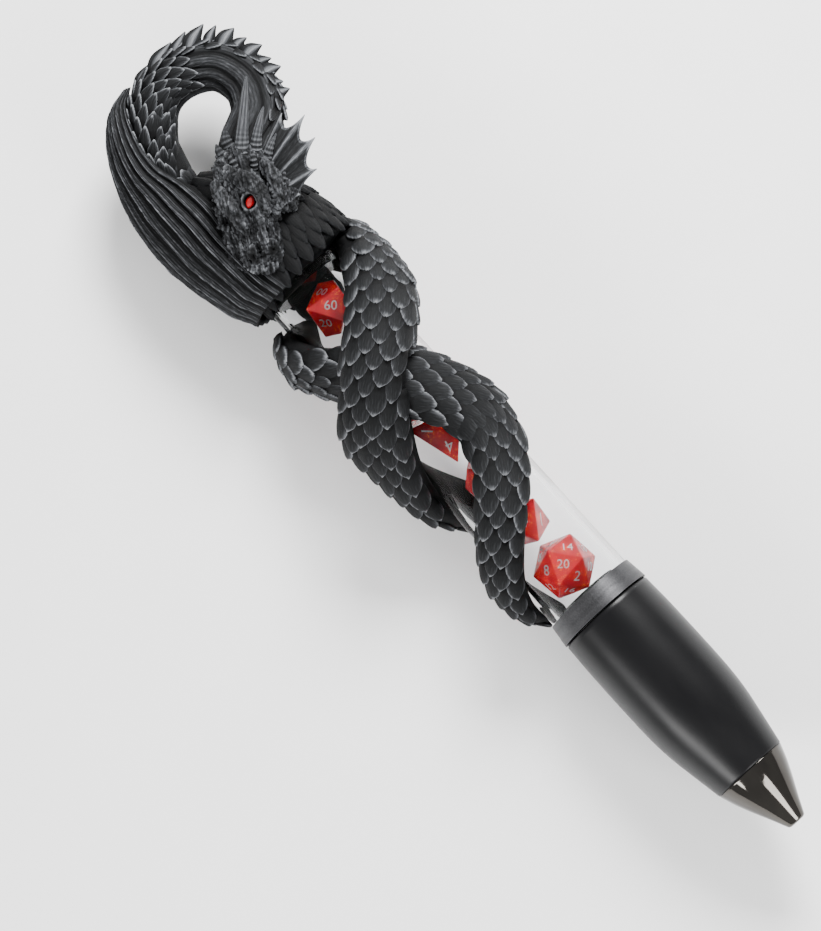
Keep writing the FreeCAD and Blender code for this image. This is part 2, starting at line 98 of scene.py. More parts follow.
def noise(material, scale, detail=4.0, stretch=(1, 1, 1), source=None, roughness=0.55):
    """A noise pattern over the object's own coordinates, or over another vector."""
    if source is None:
        source = add(material, "ShaderNodeTexCoord").outputs["Object"]
    mapping = add(material, "ShaderNodeMapping", Scale=stretch)
    wire(material, source, mapping.inputs["Vector"])
    texture = add(material, "ShaderNodeTexNoise", Scale=scale, Detail=detail, Roughness=roughness)
    wire(material, mapping.outputs["Vector"], texture.inputs["Vector"])
    return texture.outputs["Fac"]


def ramp(material, factor, stops):
    """A colour ramp over a factor, from (position, colour or grey) stops."""
    node = add(material, "ShaderNodeValToRGB")
    while len(node.color_ramp.elements) < len(stops):
        node.color_ramp.elements.new(0.5)
    for element, (place, colour) in zip(node.color_ramp.elements, stops):
        element.position = place
        element.color = (*np.broadcast_to(colour, 3), 1)
    wire(material, factor, node.inputs["Fac"])
    return node.outputs["Color"]


def tint(material, shader, socket, factor, *stops):
    """Drives a socket of a shader from a colour ramp over a factor."""
    wire(material, ramp(material, factor, stops), shader.inputs[socket])


def bump(material, height, distance, shader, strength=1.0, under=None):
    """Raises a shader's surface by a height pattern, in metres."""
    node = add(material, "ShaderNodeBump", Distance=distance, Strength=strength)
    wire(material, height, node.inputs["Height"])
    if under is not None:
        wire(material, under, node.inputs["Normal"])
    wire(material, node.outputs["Normal"], shader.inputs["Normal"])
    return node.outputs["Normal"]


def paint(node_name, material):
    """Gives a frame part its finish."""
    part = nodes[node_name]
    part.data.materials.clear()
    part.data.materials.append(material)


clear_acrylic, shader = new_material("clear_acrylic")
shader.inputs["Base Color"].default_value = (0.97, 0.98, 0.985, 1)
shader.inputs["Transmission Weight"].default_value = 1.0
shader.inputs["IOR"].default_value = 1.12
smears = noise(clear_acrylic, 90, stretch=(0.25, 1, 1))
tint(clear_acrylic, shader, "Roughness", smears, (0.45, 0.015), (0.75, 0.07))
bump(clear_acrylic, smears, 0.00002, shader)
paint("barrel_tube", clear_acrylic)
paint("barrel_end_disc", clear_acrylic)


# ---------------------------------------------------------------- collar and bulkhead
# The collar is a turned aluminium ring, bead-blasted and anodised dark grey, that screws on the barrel.
# The bulkhead behind it is moulded, and closes the dice chamber.
satin_metal, shader = new_material("satin_metal")
shader.inputs["Metallic"].default_value = 0.75
turning = noise(satin_metal, 900, stretch=(1, 0.02, 0.02))
grain = noise(satin_metal, 2600, detail=2)
tint(satin_metal, shader, "Base Color", grain, (0.3, (0.032, 0.032, 0.034)), (0.7, (0.055, 0.055, 0.058)))
tint(satin_metal, shader, "Roughness", turning, (0.3, 0.36), (0.7, 0.48))
bump(satin_metal, turning, 0.00003, shader)
paint("collar_ring", satin_metal)

dark_plastic, shader = new_material("dark_plastic")
mould_grain = noise(dark_plastic, 1800, detail=3)
tint(dark_plastic, shader, "Base Color", mould_grain, (0.3, 0.03), (0.7, 0.045))
tint(dark_plastic, shader, "Roughness", mould_grain, (0.3, 0.5), (0.7, 0.62))
bump(dark_plastic, mould_grain, 0.00003, shader)
paint("bulkhead", dark_plastic)
paint("grip_core", dark_plastic)


# ---------------------------------------------------------------- grip
# A soft-touch sleeve moulded over the turned core: matte black with a fine pebbled skin.
# It swells under the fingers and narrows to meet the nose.
soft_grip, shader = new_material("soft_grip")
pebble = noise(soft_grip, 3200, detail=3)
handling = noise(soft_grip, 60, stretch=(0.4, 1, 1))
tint(soft_grip, shader, "Base Color", handling, (0.35, (0.0025, 0.0025, 0.003)), (0.7, (0.005, 0.005, 0.0055)))
tint(soft_grip, shader, "Roughness", handling, (0.3, 0.30), (0.75, 0.38))
bump(soft_grip, pebble, 0.00002, shader)
shader.inputs["Specular IOR Level"].default_value = 0.2


def turned_piece(name, profile, steps=160):
    """A closed smooth ring or plug turned about the barrel axis from (along, radius) points in metres."""
    count = len(profile)
    turns = np.arange(steps) * 2 * math.pi / steps
    points = np.array([(x, r * math.cos(t), AXIS + r * math.sin(t)) for t in turns for x, r in profile])
    faces = []
    for i in range(steps):
        near, far = i * count, (i + 1) % steps * count
        for k in range(count):
            m = (k + 1) % count
            faces.append((near + k, near + m, far + m, far + k))
    return finished_mesh(name, points, faces)


def new_object(name, data):
    """An object in the scene showing some data."""
    thing = bpy.data.objects.new(name, data)
    bpy.context.scene.collection.objects.link(thing)
    return thing


def finished_mesh(name, points, faces, smooth=True):
    """A mesh object at the origin with its faces turned outwards."""
    mesh = bpy.data.meshes.new(name)
    mesh.from_pydata([tuple(p) for p in points], [], [tuple(int(n) for n in face) for face in faces])
    mesh.update()
    piece = new_object(name, mesh)
    outwards(mesh)
    if smooth:
        mesh.shade_smooth()
    return piece


def outwards(mesh):
    """Merges a mesh's doubles and turns its faces out."""
    work = bmesh.new()
    work.from_mesh(mesh)
    bmesh.ops.remove_doubles(work, verts=work.verts, dist=1e-7)
    bmesh.ops.recalc_face_normals(work, faces=work.faces)
    work.to_mesh(mesh)
    work.free()


def smooth_line(points, steps):
    """Points along a smooth curve through the given ones (Catmull-Rom)."""
    points = np.array(points, float)
    padded = np.vstack([2 * points[0] - points[1], points, 2 * points[-1] - points[-2]])
    line = []
    for i in range(len(points) - 1):
        a, b, c, d = padded[i:i + 4]
        for t in np.arange(steps) / steps:
            line.append(0.5 * (2 * b + (c - a) * t + (2 * a - 5 * b + 4 * c - d) * t ** 2
                               + (3 * b - a - 3 * c + d) * t ** 3))
    line.append(points[-1])
    return np.array(line)


grip_low, grip_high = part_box("grip_sleeve")
GRIP_START, GRIP_END = grip_low[0], grip_high[0]
GRIP_LENGTH = GRIP_END - GRIP_START
SWELL = (grip_high[2] - grip_low[2]) / 2
COUNTERBORE = 12.4 * MM
core_radius = (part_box("grip_core")[1][2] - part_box("grip_core")[0][2]) / 2
nose_radius = (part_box("nose_cone")[1][2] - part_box("nose_cone")[0][2]) / 2
outer = smooth_line([
    (GRIP_START + 0.5 * MM, SWELL - 0.35 * MM), (GRIP_START + 0.2 * GRIP_LENGTH, SWELL),
    (GRIP_START + 0.52 * GRIP_LENGTH, SWELL), (GRIP_END - 0.31 * GRIP_LENGTH, SWELL - 0.6 * MM),
    (GRIP_END - 0.17 * GRIP_LENGTH, nose_radius + 1.9 * MM), (GRIP_END - 0.08 * GRIP_LENGTH, nose_radius + 0.95 * MM),
    (GRIP_END - 0.3 * MM, nose_radius + 0.15 * MM)], 10)
inner = [(GRIP_END, nose_radius - 0.15 * MM), (GRIP_END, core_radius), (GRIP_START + 2.4 * MM, core_radius),
         (GRIP_START + 2.4 * MM, COUNTERBORE), (GRIP_START, COUNTERBORE), (GRIP_START, SWELL - 0.8 * MM)]
grip = turned_piece("soft_grip_sleeve", [tuple(p) for p in outer] + inner)
grip.data.materials.append(soft_grip)
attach(grip, "grip")
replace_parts(grip, "grip_sleeve")


# ---------------------------------------------------------------- nose cone and refill
# The nose is turned brass, mirror chromed, and screws into the grip. Its colour is painted near black, a painted
# reflection of dark surroundings. The standard metal refill inside it has a black knurled plug at its back end,
# a drawn steel tube and a darker turned point.
chromed_metal, shader = new_material("chromed_metal")
shader.inputs["Metallic"].default_value = 1.0
polish = noise(chromed_metal, 140, stretch=(0.2, 1, 1))
# Painted reflection: the chrome's colour is set near black to stand in for the dark surroundings it would mirror.
tint(chromed_metal, shader, "Base Color", polish, (0.3, (0.055, 0.051, 0.047)), (0.7, (0.085, 0.079, 0.071)))
tint(chromed_metal, shader, "Roughness", polish, (0.3, 0.05), (0.8, 0.10))
bump(chromed_metal, noise(chromed_metal, 1200, stretch=(1, 0.03, 0.03)), 0.000008, shader)
nose_low, nose_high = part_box("nose_cone")
NOSE_START, NOSE_END = GRIP_END, nose_high[0]
NOSE_LENGTH = NOSE_END - NOSE_START
tip_radius = 2.5 * MM
nose_bore = 1.45 * MM
refill_room = 3.25 * MM
THREAD_ROOT, THREAD_CREST = 9.1, 9.45
cone = smooth_line([
    (NOSE_START + 0.15 * MM, nose_radius), (NOSE_END - 0.78 * NOSE_LENGTH, tip_radius + 7.25 * MM),
    (NOSE_END - 0.54 * NOSE_LENGTH, tip_radius + 5.2 * MM), (NOSE_END - 0.29 * NOSE_LENGTH, tip_radius + 2.85 * MM),
    (NOSE_END - 1.1 * MM, tip_radius + 0.75 * MM), (NOSE_END - 0.3 * MM, tip_radius + 0.3 * MM)], 10)
inside = [(NOSE_END, tip_radius - 0.3 * MM), (NOSE_END, nose_bore), (NOSE_END - 0.5 * NOSE_LENGTH, nose_bore),
          (NOSE_END - 0.6 * NOSE_LENGTH, refill_room), (nose_low[0], refill_room)]
thread = [(nose_low[0] + step * 0.25 * MM, (THREAD_ROOT if step % 4 in (0, 1) else THREAD_CREST) * MM)
          for step in range(1, 30)]
nose = turned_piece("chromed_nose", [tuple(p) for p in cone] + inside + [(nose_low[0], 9.0 * MM)] + thread
                    + [(NOSE_START - 0.3 * MM, 9.2 * MM), (NOSE_START, 9.2 * MM),
                       (NOSE_START, nose_radius - 0.15 * MM)])
nose.data.materials.append(chromed_metal)
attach(nose, "nose")
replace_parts(nose, "nose_cone")

steel, shader = new_material("steel")
shader.inputs["Metallic"].default_value = 1.0
drawn = noise(steel, 2200, stretch=(0.04, 1, 1))
tint(steel, shader, "Base Color", drawn, (0.3, (0.42, 0.38, 0.33)), (0.7, (0.6, 0.56, 0.5)))
tint(steel, shader, "Roughness", drawn, (0.3, 0.25), (0.7, 0.4))
bump(steel, drawn, 0.00001, shader)
paint("refill_tube", steel)
paint("key_pin", steel)
steel_dark, shader = new_material("steel_dark")
shader.inputs["Metallic"].default_value = 1.0
turned_marks = noise(steel_dark, 2600, stretch=(1, 0.04, 0.04))
tint(steel_dark, shader, "Base Color", turned_marks, (0.3, (0.14, 0.12, 0.1)), (0.7, (0.24, 0.21, 0.18)))
tint(steel_dark, shader, "Roughness", turned_marks, (0.3, 0.3), (0.7, 0.45))
bump(steel_dark, turned_marks, 0.00001, shader)
paint("refill_point", steel_dark)
white_plastic, shader = new_material("white_plastic")
flow = noise(white_plastic, 700, detail=3)
tint(white_plastic, shader, "Base Color", flow, (0.3, (0.66, 0.66, 0.63)), (0.7, (0.76, 0.76, 0.73)))
tint(white_plastic, shader, "Roughness", flow, (0.3, 0.38), (0.7, 0.5))
bump(white_plastic, flow, 0.00002, shader)
paint("cam_sleeve", white_plastic)
paint("refill_holder", white_plastic)

plug_low, plug_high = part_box("refill_plug")
KNURLS = 24
knurl_depth = 0.16 * MM
plug_profile = [(0.0, 0.0), (0.0, 2.15), (0.5, 2.5), (1.0, 2.65), (6.0, 2.4), (6.4, 1.9), (6.9, 1.75), (7.3, 1.95),
                (7.8, 1.75), (8.3, 1.9), (8.8, 1.7), (9.5, 1.65), (9.5, 0.0)]
steps = KNURLS * 4
plug_points = [(plug_low[0], 0, AXIS)]
rings = plug_profile[1:-1]
for along, radius in rings:
    for i in range(steps):
        groove = knurl_depth if 0.4 < along < 6.2 and i % 4 == 0 else 0
        turn = 2 * math.pi * i / steps
        reach = radius * MM - groove
        plug_points.append((plug_low[0] + along * MM, reach * math.cos(turn), AXIS + reach * math.sin(turn)))
plug_points.append((plug_high[0], 0, AXIS))
plug_faces = []
for i in range(steps):
    j = (i + 1) % steps
    plug_faces.append((0, 1 + i, 1 + j))
    for k in range(len(rings) - 1):
        near, far = 1 + k * steps, 1 + (k + 1) * steps
        plug_faces.append((near + i, far + i, far + j, near + j))
    last = 1 + (len(rings) - 1) * steps
    plug_faces.append((last + i, len(plug_points) - 1, last + j))
plug = finished_mesh("knurled_refill_plug", plug_points, plug_faces, smooth=False)
refill_plastic, shader = new_material("refill_plastic")
wear = noise(refill_plastic, 1500, detail=3)
tint(refill_plastic, shader, "Base Color", wear, (0.3, 0.012), (0.7, 0.03))
tint(refill_plastic, shader, "Roughness", wear, (0.3, 0.35), (0.7, 0.5))
bump(refill_plastic, wear, 0.00002, shader)
plug.data.materials.append(refill_plastic)
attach(plug, "refill")
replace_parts(plug, "refill_plug")


# ---------------------------------------------------------------- the casting's two coils
# The dragon is cast in one piece of filled resin, stained near black, and dry-brushed grey on what stands up.
# Its body and tail lie on the barrel as fat half-round coils under overlapping scales, glued along their seats.
cast_resin, shader = new_material("cast_resin")
# The 'raised' value sets the dry-brushed grey; on the head it also holds a painted highlight on up-facing ridges, and
# on the shoulder feathers a painted shade.
raised = add(cast_resin, "ShaderNodeAttribute", attribute_name="raised").outputs["Fac"]
flow_line = add(cast_resin, "ShaderNodeAttribute", attribute_name="grain").outputs["Vector"]
streaks = noise(cast_resin, 1.0, detail=5, stretch=(2900, 300, 700), source=flow_line, roughness=0.7)
pits = noise(cast_resin, 1500, detail=3)
mixed = add(cast_resin, "ShaderNodeMath", operation="MULTIPLY_ADD")
wire(cast_resin, streaks, mixed.inputs[0])
mixed.inputs[1].default_value = 1.0
lowered = add(cast_resin, "ShaderNodeMath", operation="SUBTRACT")
wire(cast_resin, raised, lowered.inputs[0])
lowered.inputs[1].default_value = 0.46
wire(cast_resin, lowered.outputs[0], mixed.inputs[2])
tint(cast_resin, shader, "Base Color", mixed.outputs[0],
     (0.12, (0.0015, 0.0016, 0.0018)), (0.36, (0.006, 0.0064, 0.007)), (0.56, (0.022, 0.023, 0.025)),
     (0.74, (0.072, 0.075, 0.081)), (0.93, (0.19, 0.197, 0.209)))
tint(cast_resin, shader, "Roughness", streaks, (0.3, 0.62), (0.7, 0.8))
fine = bump(cast_resin, pits, 0.00004, shader, 0.5)
bump(cast_resin, streaks, 0.00022, shader, 0.9, under=fine)
shader.inputs["Specular IOR Level"].default_value = 0.12

SEAT = BARREL_RADIUS + 0.2 * MM


def curve_through(stations):
    """A smooth function of place along the barrel through (mm, value) stations."""
    places = np.array([s[0] for s in stations], float)
    values = np.array([s[1] for s in stations], float)
    slopes = np.gradient(values, places)

    def value(x):
        x = np.clip(x, places[0], places[-1])
        k = np.clip(np.searchsorted(places, x) - 1, 0, len(places) - 2)
        h = places[k + 1] - places[k]
        t = (x - places[k]) / h
        return ((2 * t ** 3 - 3 * t ** 2 + 1) * values[k] + (t ** 3 - 2 * t ** 2 + t) * h * slopes[k]
                + (3 * t ** 2 - 2 * t ** 3) * values[k + 1] + (t ** 3 - t ** 2) * h * slopes[k + 1])
    return value


def coil_surface(angles, seats, thicknesses, half_widths):
    """The outer face of a coil: a function of place along the barrel (mm) and of across (-1 to 1)."""
    angle, seat, thickness, half = (curve_through(s) for s in (angles, seats, thicknesses, half_widths))

    def face(x, across):
        inner, thick = seat(x), thickness(x)
        spread = half(x) / (inner + thick / 2)
        turn = np.radians(angle(x)) + spread * across
        reach = inner + thick * np.sqrt(np.clip(1 - np.abs(across) ** 2.6, 0, 1))
        return np.stack([x + 0 * turn, reach * np.cos(turn), AXIS / MM + reach * np.sin(turn)], -1) * MM

    face.angle = angle
    face.spread = lambda x: half(x) / (seat(x) + thickness(x) / 2)
    face.reach = lambda x: seat(x) + thickness(x)
    return face


def ring_faces(rings, around):
    """Faces of a tube of rings, closed at both ends."""
    faces = [(i * around + k, i * around + (k + 1) % around, (i + 1) * around + (k + 1) % around,
              (i + 1) * around + k)
             for i in range(rings - 1) for k in range(around)]
    return faces + [tuple(range(around)), tuple((rings - 1) * around + k for k in range(around))]


def limb_mesh(face, start, end, along_steps, across_steps, cap=4.0):
    """The closed skin of a coil: its outer face rolled round to a seat, with rounded ends."""
    places = np.linspace(start, end, along_steps)
    outer = np.linspace(-1, 1, across_steps)
    middle = face(places, np.zeros(along_steps))
    grid = np.stack([face(places, np.full(along_steps, a)) for a in outer], 1)
    edge = np.clip(np.minimum(places - start, end - places) / cap, 0, 1)
    shrink = np.sqrt(np.clip(1 - (1 - edge) ** 2, 0.0004, 1))[:, None, None]
    base = (grid[:, :1] + grid[:, -1:]) / 2 * 0.5 + middle[:, None] * 0.5
    grid = base + (grid - base) * shrink
    return grid.reshape(-1, 3), ring_faces(along_steps, across_steps)


def set_point_data(mesh, name, kind, values):
    """Stores one value or vector for each of a mesh's points."""
    data = mesh.attributes.new(name, kind, "POINT")
    data.data.foreach_set("vector" if kind == "FLOAT_VECTOR" else "value", np.asarray(values, np.float32).ravel())


def set_look(mesh, raised, grain):
    """Stores how light each point is painted (how far it stands up, for the dry-brushing, plus painted shade and
    highlight on some pieces) and its place along the carved grain.
    """
    set_point_data(mesh, "raised", "FLOAT", raised)
    set_point_data(mesh, "grain", "FLOAT_VECTOR", grain)


def scale_plate(name, width, length, rise, ridge=0.12, bow=2.1, tone=1.0):
    """One scale: a domed shield with a thick rim, its tip towards +Y and lifted, in metres about its root."""
    columns, rows = 6, 6
    points, rim, grain = [], [], []
    for j in range(rows + 1):
        b = j / rows
        swell = 0.8 + 0.2 * math.sin(min(b / 0.4, 1) * math.pi / 2)
        outline = swell if b < 0.4 else max(1 - ((b - 0.4) / 0.6) ** bow, 0.03) ** 0.72
        for i in range(columns + 1):
            a = 2 * i / columns - 1
            lift = rise * b + width * 0.15 * (1 - a * a) * (1 - 0.45 * b ** 3)
            keel = ridge * width * max(0, 1 - abs(a) * 3.2) * (1 - b) * 0.3
            side = max(abs(a), 0 if b < 0.55 else ((b - 0.4) / 0.6) ** 1.5)
            points.append((a * outline * width / 2, (b - 0.3) * length, lift + keel - 0.05 * width * side ** 6))
            rim.append(tone * (0.13 + 0.30 * b + 0.46 * side ** 6 * min(1, b * 2.0) - 0.3 * (b < 0.3)))
            grain.append((a * outline * width / 2, b * length, 0))
    across = columns + 1
    faces = [(j * across + i, j * across + i + 1, (j + 1) * across + i + 1, (j + 1) * across + i)
             for j in range(rows) for i in range(columns)]
    border = ([i for i in range(across)] + [j * across + columns for j in range(1, rows + 1)]
              + [rows * across + i for i in range(columns - 1, -1, -1)] + [j * across for j in range(rows - 1, 0,
                                                                                                     -1)])
    skirt = len(points)
    for n in border:
        x, y, z = points[n]
        points.append((x * 0.93, y * 0.985 - 0.02 * length, min(z - 0.16 * width, z * 0.5)))
        rim.append(0.0)
        grain.append(grain[n])
    count = len(border)
    faces += [(border[k], skirt + k, skirt + (k + 1) % count, border[(k + 1) % count]) for k in range(count)]
    faces.append(tuple(skirt + k for k in range(count)))
    mesh = bpy.data.meshes.new(name)
    mesh.from_pydata(points, [], faces)
    set_look(mesh, rim, grain)
    outwards(mesh)
    mesh.shade_smooth()
    plate = new_object(name, mesh)
    return plate


def rooted_points(name, seats):
    """A cloud of scale roots: each seat is (place, outward, along, size)."""
    mesh = bpy.data.meshes.new(name)
    mesh.from_pydata([tuple(s[0]) for s in seats], [], [])
    turns = []
    for place, outward, along, size in seats:
        up = Vector(outward).normalized()
        ahead = (Vector(along) - up * Vector(along).dot(up)).normalized()
        turns.append(tuple(Matrix((ahead.cross(up), ahead, up)).transposed().to_euler()))
    set_point_data(mesh, "turn", "FLOAT_VECTOR", turns)
    set_point_data(mesh, "size", "FLOAT", [s[3] for s in seats])
    cloud = new_object(name, mesh)
    return cloud


def scale_tree():
    """Geometry nodes that plant a scale on every root, each a little different, and join them to the limb."""
    tree = bpy.data.node_groups.new("planted_scales", "GeometryNodeTree")
    face_in = tree.interface
    face_in.new_socket("Geometry", in_out="INPUT", socket_type="NodeSocketGeometry")
    for name, kind in (("Roots", "NodeSocketObject"), ("Scale plate", "NodeSocketObject"),
                       ("Finish", "NodeSocketMaterial"), ("Size spread", "NodeSocketFloat"),
                       ("Seed", "NodeSocketInt")):
        face_in.new_socket(name, in_out="INPUT", socket_type=kind)
    face_in.new_socket("Geometry", in_out="OUTPUT", socket_type="NodeSocketGeometry")
    put = tree.nodes.new
    given, result = put("NodeGroupInput"), put("NodeGroupOutput")
    roots, plate = put("GeometryNodeObjectInfo"), put("GeometryNodeObjectInfo")
    turn, size = put("GeometryNodeInputNamedAttribute"), put("GeometryNodeInputNamedAttribute")
    turn.data_type, size.data_type = "FLOAT_VECTOR", "FLOAT"
    turn.inputs["Name"].default_value, size.inputs["Name"].default_value = "turn", "size"
    to_turn, spread = put("FunctionNodeEulerToRotation"), put("FunctionNodeRandomValue")
    low, high, sized = put("ShaderNodeMath"), put("ShaderNodeMath"), put("ShaderNodeMath")
    low.operation, high.operation, sized.operation = "SUBTRACT", "ADD", "MULTIPLY"
    plant, real = put("GeometryNodeInstanceOnPoints"), put("GeometryNodeRealizeInstances")
    join, finish = put("GeometryNodeJoinGeometry"), put("GeometryNodeSetMaterial")
    low.inputs[0].default_value = high.inputs[0].default_value = 1.0
    for start, end in (
            (given.outputs["Roots"], roots.inputs["Object"]), (given.outputs["Scale plate"], plate.inputs["Object"]),
            (given.outputs["Size spread"], low.inputs[1]), (given.outputs["Size spread"], high.inputs[1]),
            (low.outputs[0], spread.inputs[2]), (high.outputs[0], spread.inputs[3]),
            (given.outputs["Seed"], spread.inputs["Seed"]), (spread.outputs[1], sized.inputs[0]),
            (size.outputs["Attribute"], sized.inputs[1]), (turn.outputs["Attribute"], to_turn.inputs[0]),
            (roots.outputs["Geometry"], plant.inputs["Points"]),
            (plate.outputs["Geometry"], plant.inputs["Instance"]),
            (to_turn.outputs[0], plant.inputs["Rotation"]), (sized.outputs[0], plant.inputs["Scale"]),
            (plant.outputs["Instances"], join.inputs["Geometry"]),
            (given.outputs["Geometry"], join.inputs["Geometry"]),
            (join.outputs["Geometry"], real.inputs["Geometry"]),
            (real.outputs["Geometry"], finish.inputs["Geometry"]),
            (given.outputs["Finish"], finish.inputs["Material"]),
            (finish.outputs["Geometry"], result.inputs["Geometry"])):
        tree.links.new(start, end)
    return tree


planted_scales = scale_tree()


def as_seen(thing):
    """A plain mesh of an object with its modifiers applied."""
    return bpy.data.meshes.new_from_object(thing.evaluated_get(bpy.context.evaluated_depsgraph_get()))


def scaled_limb(name, limb, seats, plate, seed):
    """Turns a limb with its scales planted on it into one plain mesh piece in cast resin."""
    cloud = rooted_points(name + "_roots", seats)
    modifier = limb.modifiers.new("scales", "NODES")
    modifier.node_group = planted_scales
    settings = {"Roots": cloud, "Scale plate": plate, "Finish": cast_resin, "Size spread": 0.1, "Seed": seed}
    for socket in planted_scales.interface.items_tree:
        if socket.name in settings:
            modifier[socket.identifier] = settings[socket.name]
    mesh = as_seen(limb)
    limb.modifiers.clear()
    limb.data = mesh
    limb.name = name
    bpy.data.objects.remove(cloud)
    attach(limb, "barrel")
    return limb


def scale_seats(face, start, end, pitch, width, margin=0.96, sizes=None):
    """Staggered scale roots on a coil's outer face, in rows square to the way the coil runs."""
    places = np.linspace(start, end, 600)
    girth_radius = face.reach(places)
    turns = np.radians(face.angle(places))
    steps = np.stack([np.diff(places), girth_radius[1:] * np.diff(turns)], 1)
    run = np.concatenate([[0], np.cumsum(np.linalg.norm(steps, axis=1))])
    seats = []
    for row, distance in enumerate(np.arange(pitch * 0.5, run[-1], pitch)):
        x = np.interp(distance, run, places)
        k = min(int(np.searchsorted(run, distance)), len(steps) - 1)
        ahead_x, ahead_turn = steps[k] / np.linalg.norm(steps[k])
        radius = girth_radius[k]
        grow = float(sizes(x)) if sizes else 1.0
        for n in range(-6, 7):
            off = (n + (0.5 if row % 2 else 0.0)) * width * grow
            near = x - off * ahead_turn
            if not start <= near <= end:
                continue
            turn = math.radians(face.angle(x)) + off * ahead_x / radius
            across = (turn - math.radians(face.angle(near))) / face.spread(near)
            if abs(across) > margin:
                continue
            here, front, rear = (face(np.array([near + d]), np.array([across]))[0] for d in (0, 0.2, -0.2))
            side = face(np.array([near]), np.array([across + 0.02]))[0] - here
            outward = np.cross(front - rear, side)
            radial = here - np.array([here[0], 0, AXIS])
            seats.append((here, outward if outward @ radial > 0 else -outward, front - rear, grow))
    return seats


TAIL_SQUEEZE = 4.4
over_tail = SEAT / MM + TAIL_SQUEEZE + 0.4
body_face = coil_surface(
    angles=[(-6, -40), (0, -20), (7, 8), (14, 29), (20, 48), (27, 69), (34, 90), (40, 111), (46, 130), (52, 149),
            (58, 168), (66, 193), (76, 226), (84, 252), (90, 268)],
    seats=[(-6, SEAT / MM), (6, SEAT / MM), (14, SEAT / MM + 1.6), (24, over_tail), (44, over_tail),
           (54, SEAT / MM + 1.2), (62, SEAT / MM), (90, SEAT / MM)],
    thicknesses=[(-6, 8.5), (6, 9.2), (20, 8.0), (34, 7.6), (48, 8.0), (60, 7.8), (78, 7.2), (90, 4.5)],
    half_widths=[(-6, 12), (6, 12.5), (20, 14.8), (34, 15.2), (48, 15), (60, 13.5), (76, 10.5), (90, 5)])
tail_face = coil_surface(
    angles=[(6, 222), (9, 212), (14, 193), (20, 172), (27, 141), (35, 107), (45, 76), (54, 55), (62, 45), (70, 53),
            (78, 70), (84, 86), (92, 115), (100, 148), (106, 175), (114, 207), (120, 230)],
    seats=[(6, SEAT / MM), (120, SEAT / MM)],
    thicknesses=[(6, 5.4), (12, 6.6), (20, 7.2), (27, TAIL_SQUEEZE + 1), (36, TAIL_SQUEEZE), (46, TAIL_SQUEEZE + 0.8),
                 (56, 6.6), (64, 6.9), (84, 7.0), (104, 6.4), (114, 5.0), (120, 2.4)],
    half_widths=[(6, 8.5), (12, 11.5), (20, 13), (30, 12.5), (46, 12.6), (60, 11.6), (72, 10.4), (84, 10.6),
                 (100, 10.2), (110, 8.6), (120, 3.2)])

big_scale = scale_plate("big_scale", 6.5 * MM, 8.8 * MM, 1.25 * MM)
for name, face, start, end, seed in (("scaled_body_coil", body_face, -4.0, 89.0, 3),
                                     ("scaled_tail_coil", tail_face, 6.5, 119.3, 7)):
    points, faces = limb_mesh(face, start, end, 240, 40)
    limb = finished_mesh(name + "_limb", points, faces)
    set_look(limb.data, [0.1] * len(limb.data.vertices), [tuple(v.co) for v in limb.data.vertices])
    slim = curve_through([(start, 0.9), (start + 20, 1.0), (end - 35, 0.97), (end - 14, 0.8), (end, 0.5)])
    seats = scale_seats(face, start + 0.5, end - 0.5, 3.75, 6.2, sizes=slim)
    piece = scaled_limb(name, limb, seats, big_scale, seed)
    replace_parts(piece, name.replace("scaled_", ""))


# ---------------------------------------------------------------- shoulder
# The dragon's shoulder swallows the tube's upper end. It is part of the same casting, feathered with long scales,
# painted darker as shade, that lie back over the tube's mouth, on a low flat pad left from the pouring side of the
# mould.
def above(points):
    """Places given in mm as (x, y, height over the axis), in metres in the frame."""
    return (np.asarray(points, float) + [0, 0, AXIS / MM]) * MM


def limb_face(stations, start_cap, end_cap, steps=12):
    """The surface of a round limb through (x, y, height over the axis, half across, half deep) stations in mm.
    Turn 0 looks to the right of the way the limb runs, and a quarter turn looks up."""
    line = smooth_line(stations, steps)
    centres = above(line[:, :3])
    ahead = np.gradient(centres, axis=0)
    ahead /= np.linalg.norm(ahead, axis=1)[:, None]
    side = np.cross(ahead, (0, 0, 1.0))
    side /= np.linalg.norm(side, axis=1)[:, None]
    lift = np.cross(side, ahead)
    run = np.concatenate([[0], np.cumsum(np.linalg.norm(np.diff(centres, axis=0), axis=1))])

    def face(distance, turn, swell=0.0):
        def at(table):
            return np.stack([np.interp(distance, run, table[:, k]) for k in range(3)], -1)
        near = np.clip(distance / (start_cap * MM), 0, 1)
        far = np.clip((run[-1] - distance) / (end_cap * MM), 0, 1)
        shrink = np.sqrt(np.clip(1 - (1 - np.minimum(near, far)) ** 2, 0.0004, 1))
        wide = (np.interp(distance, run, line[:, 3]) * MM + swell) * shrink * np.cos(turn)
        deep = (np.interp(distance, run, line[:, 4]) * MM + swell) * shrink * np.sin(turn)
        return at(centres) + at(side) * np.asarray(wide)[..., None] + at(lift) * np.asarray(deep)[..., None]

    face.length = run[-1]
    return face


def limb_piece(name, face, rings, around, swell=None, strength=0.5, tone=0.2):
    """A closed limb mesh with its surface swollen by swell(distance, turn) in mm."""
    distances = np.linspace(0, face.length, rings)
    turns = np.arange(around) * 2 * math.pi / around - math.pi / 2
    d, t = np.meshgrid(distances, turns, indexing="ij")
    swells = swell(d / MM, t) if swell else 0 * d
    grid = face(d, t, swells * MM)
    limb = finished_mesh(name, grid.reshape(-1, 3), ring_faces(rings, around))
    set_look(limb.data, np.clip(tone + swells * strength, 0, 1), np.stack([t * 7 * MM, d, 0 * d], -1))
    return limb


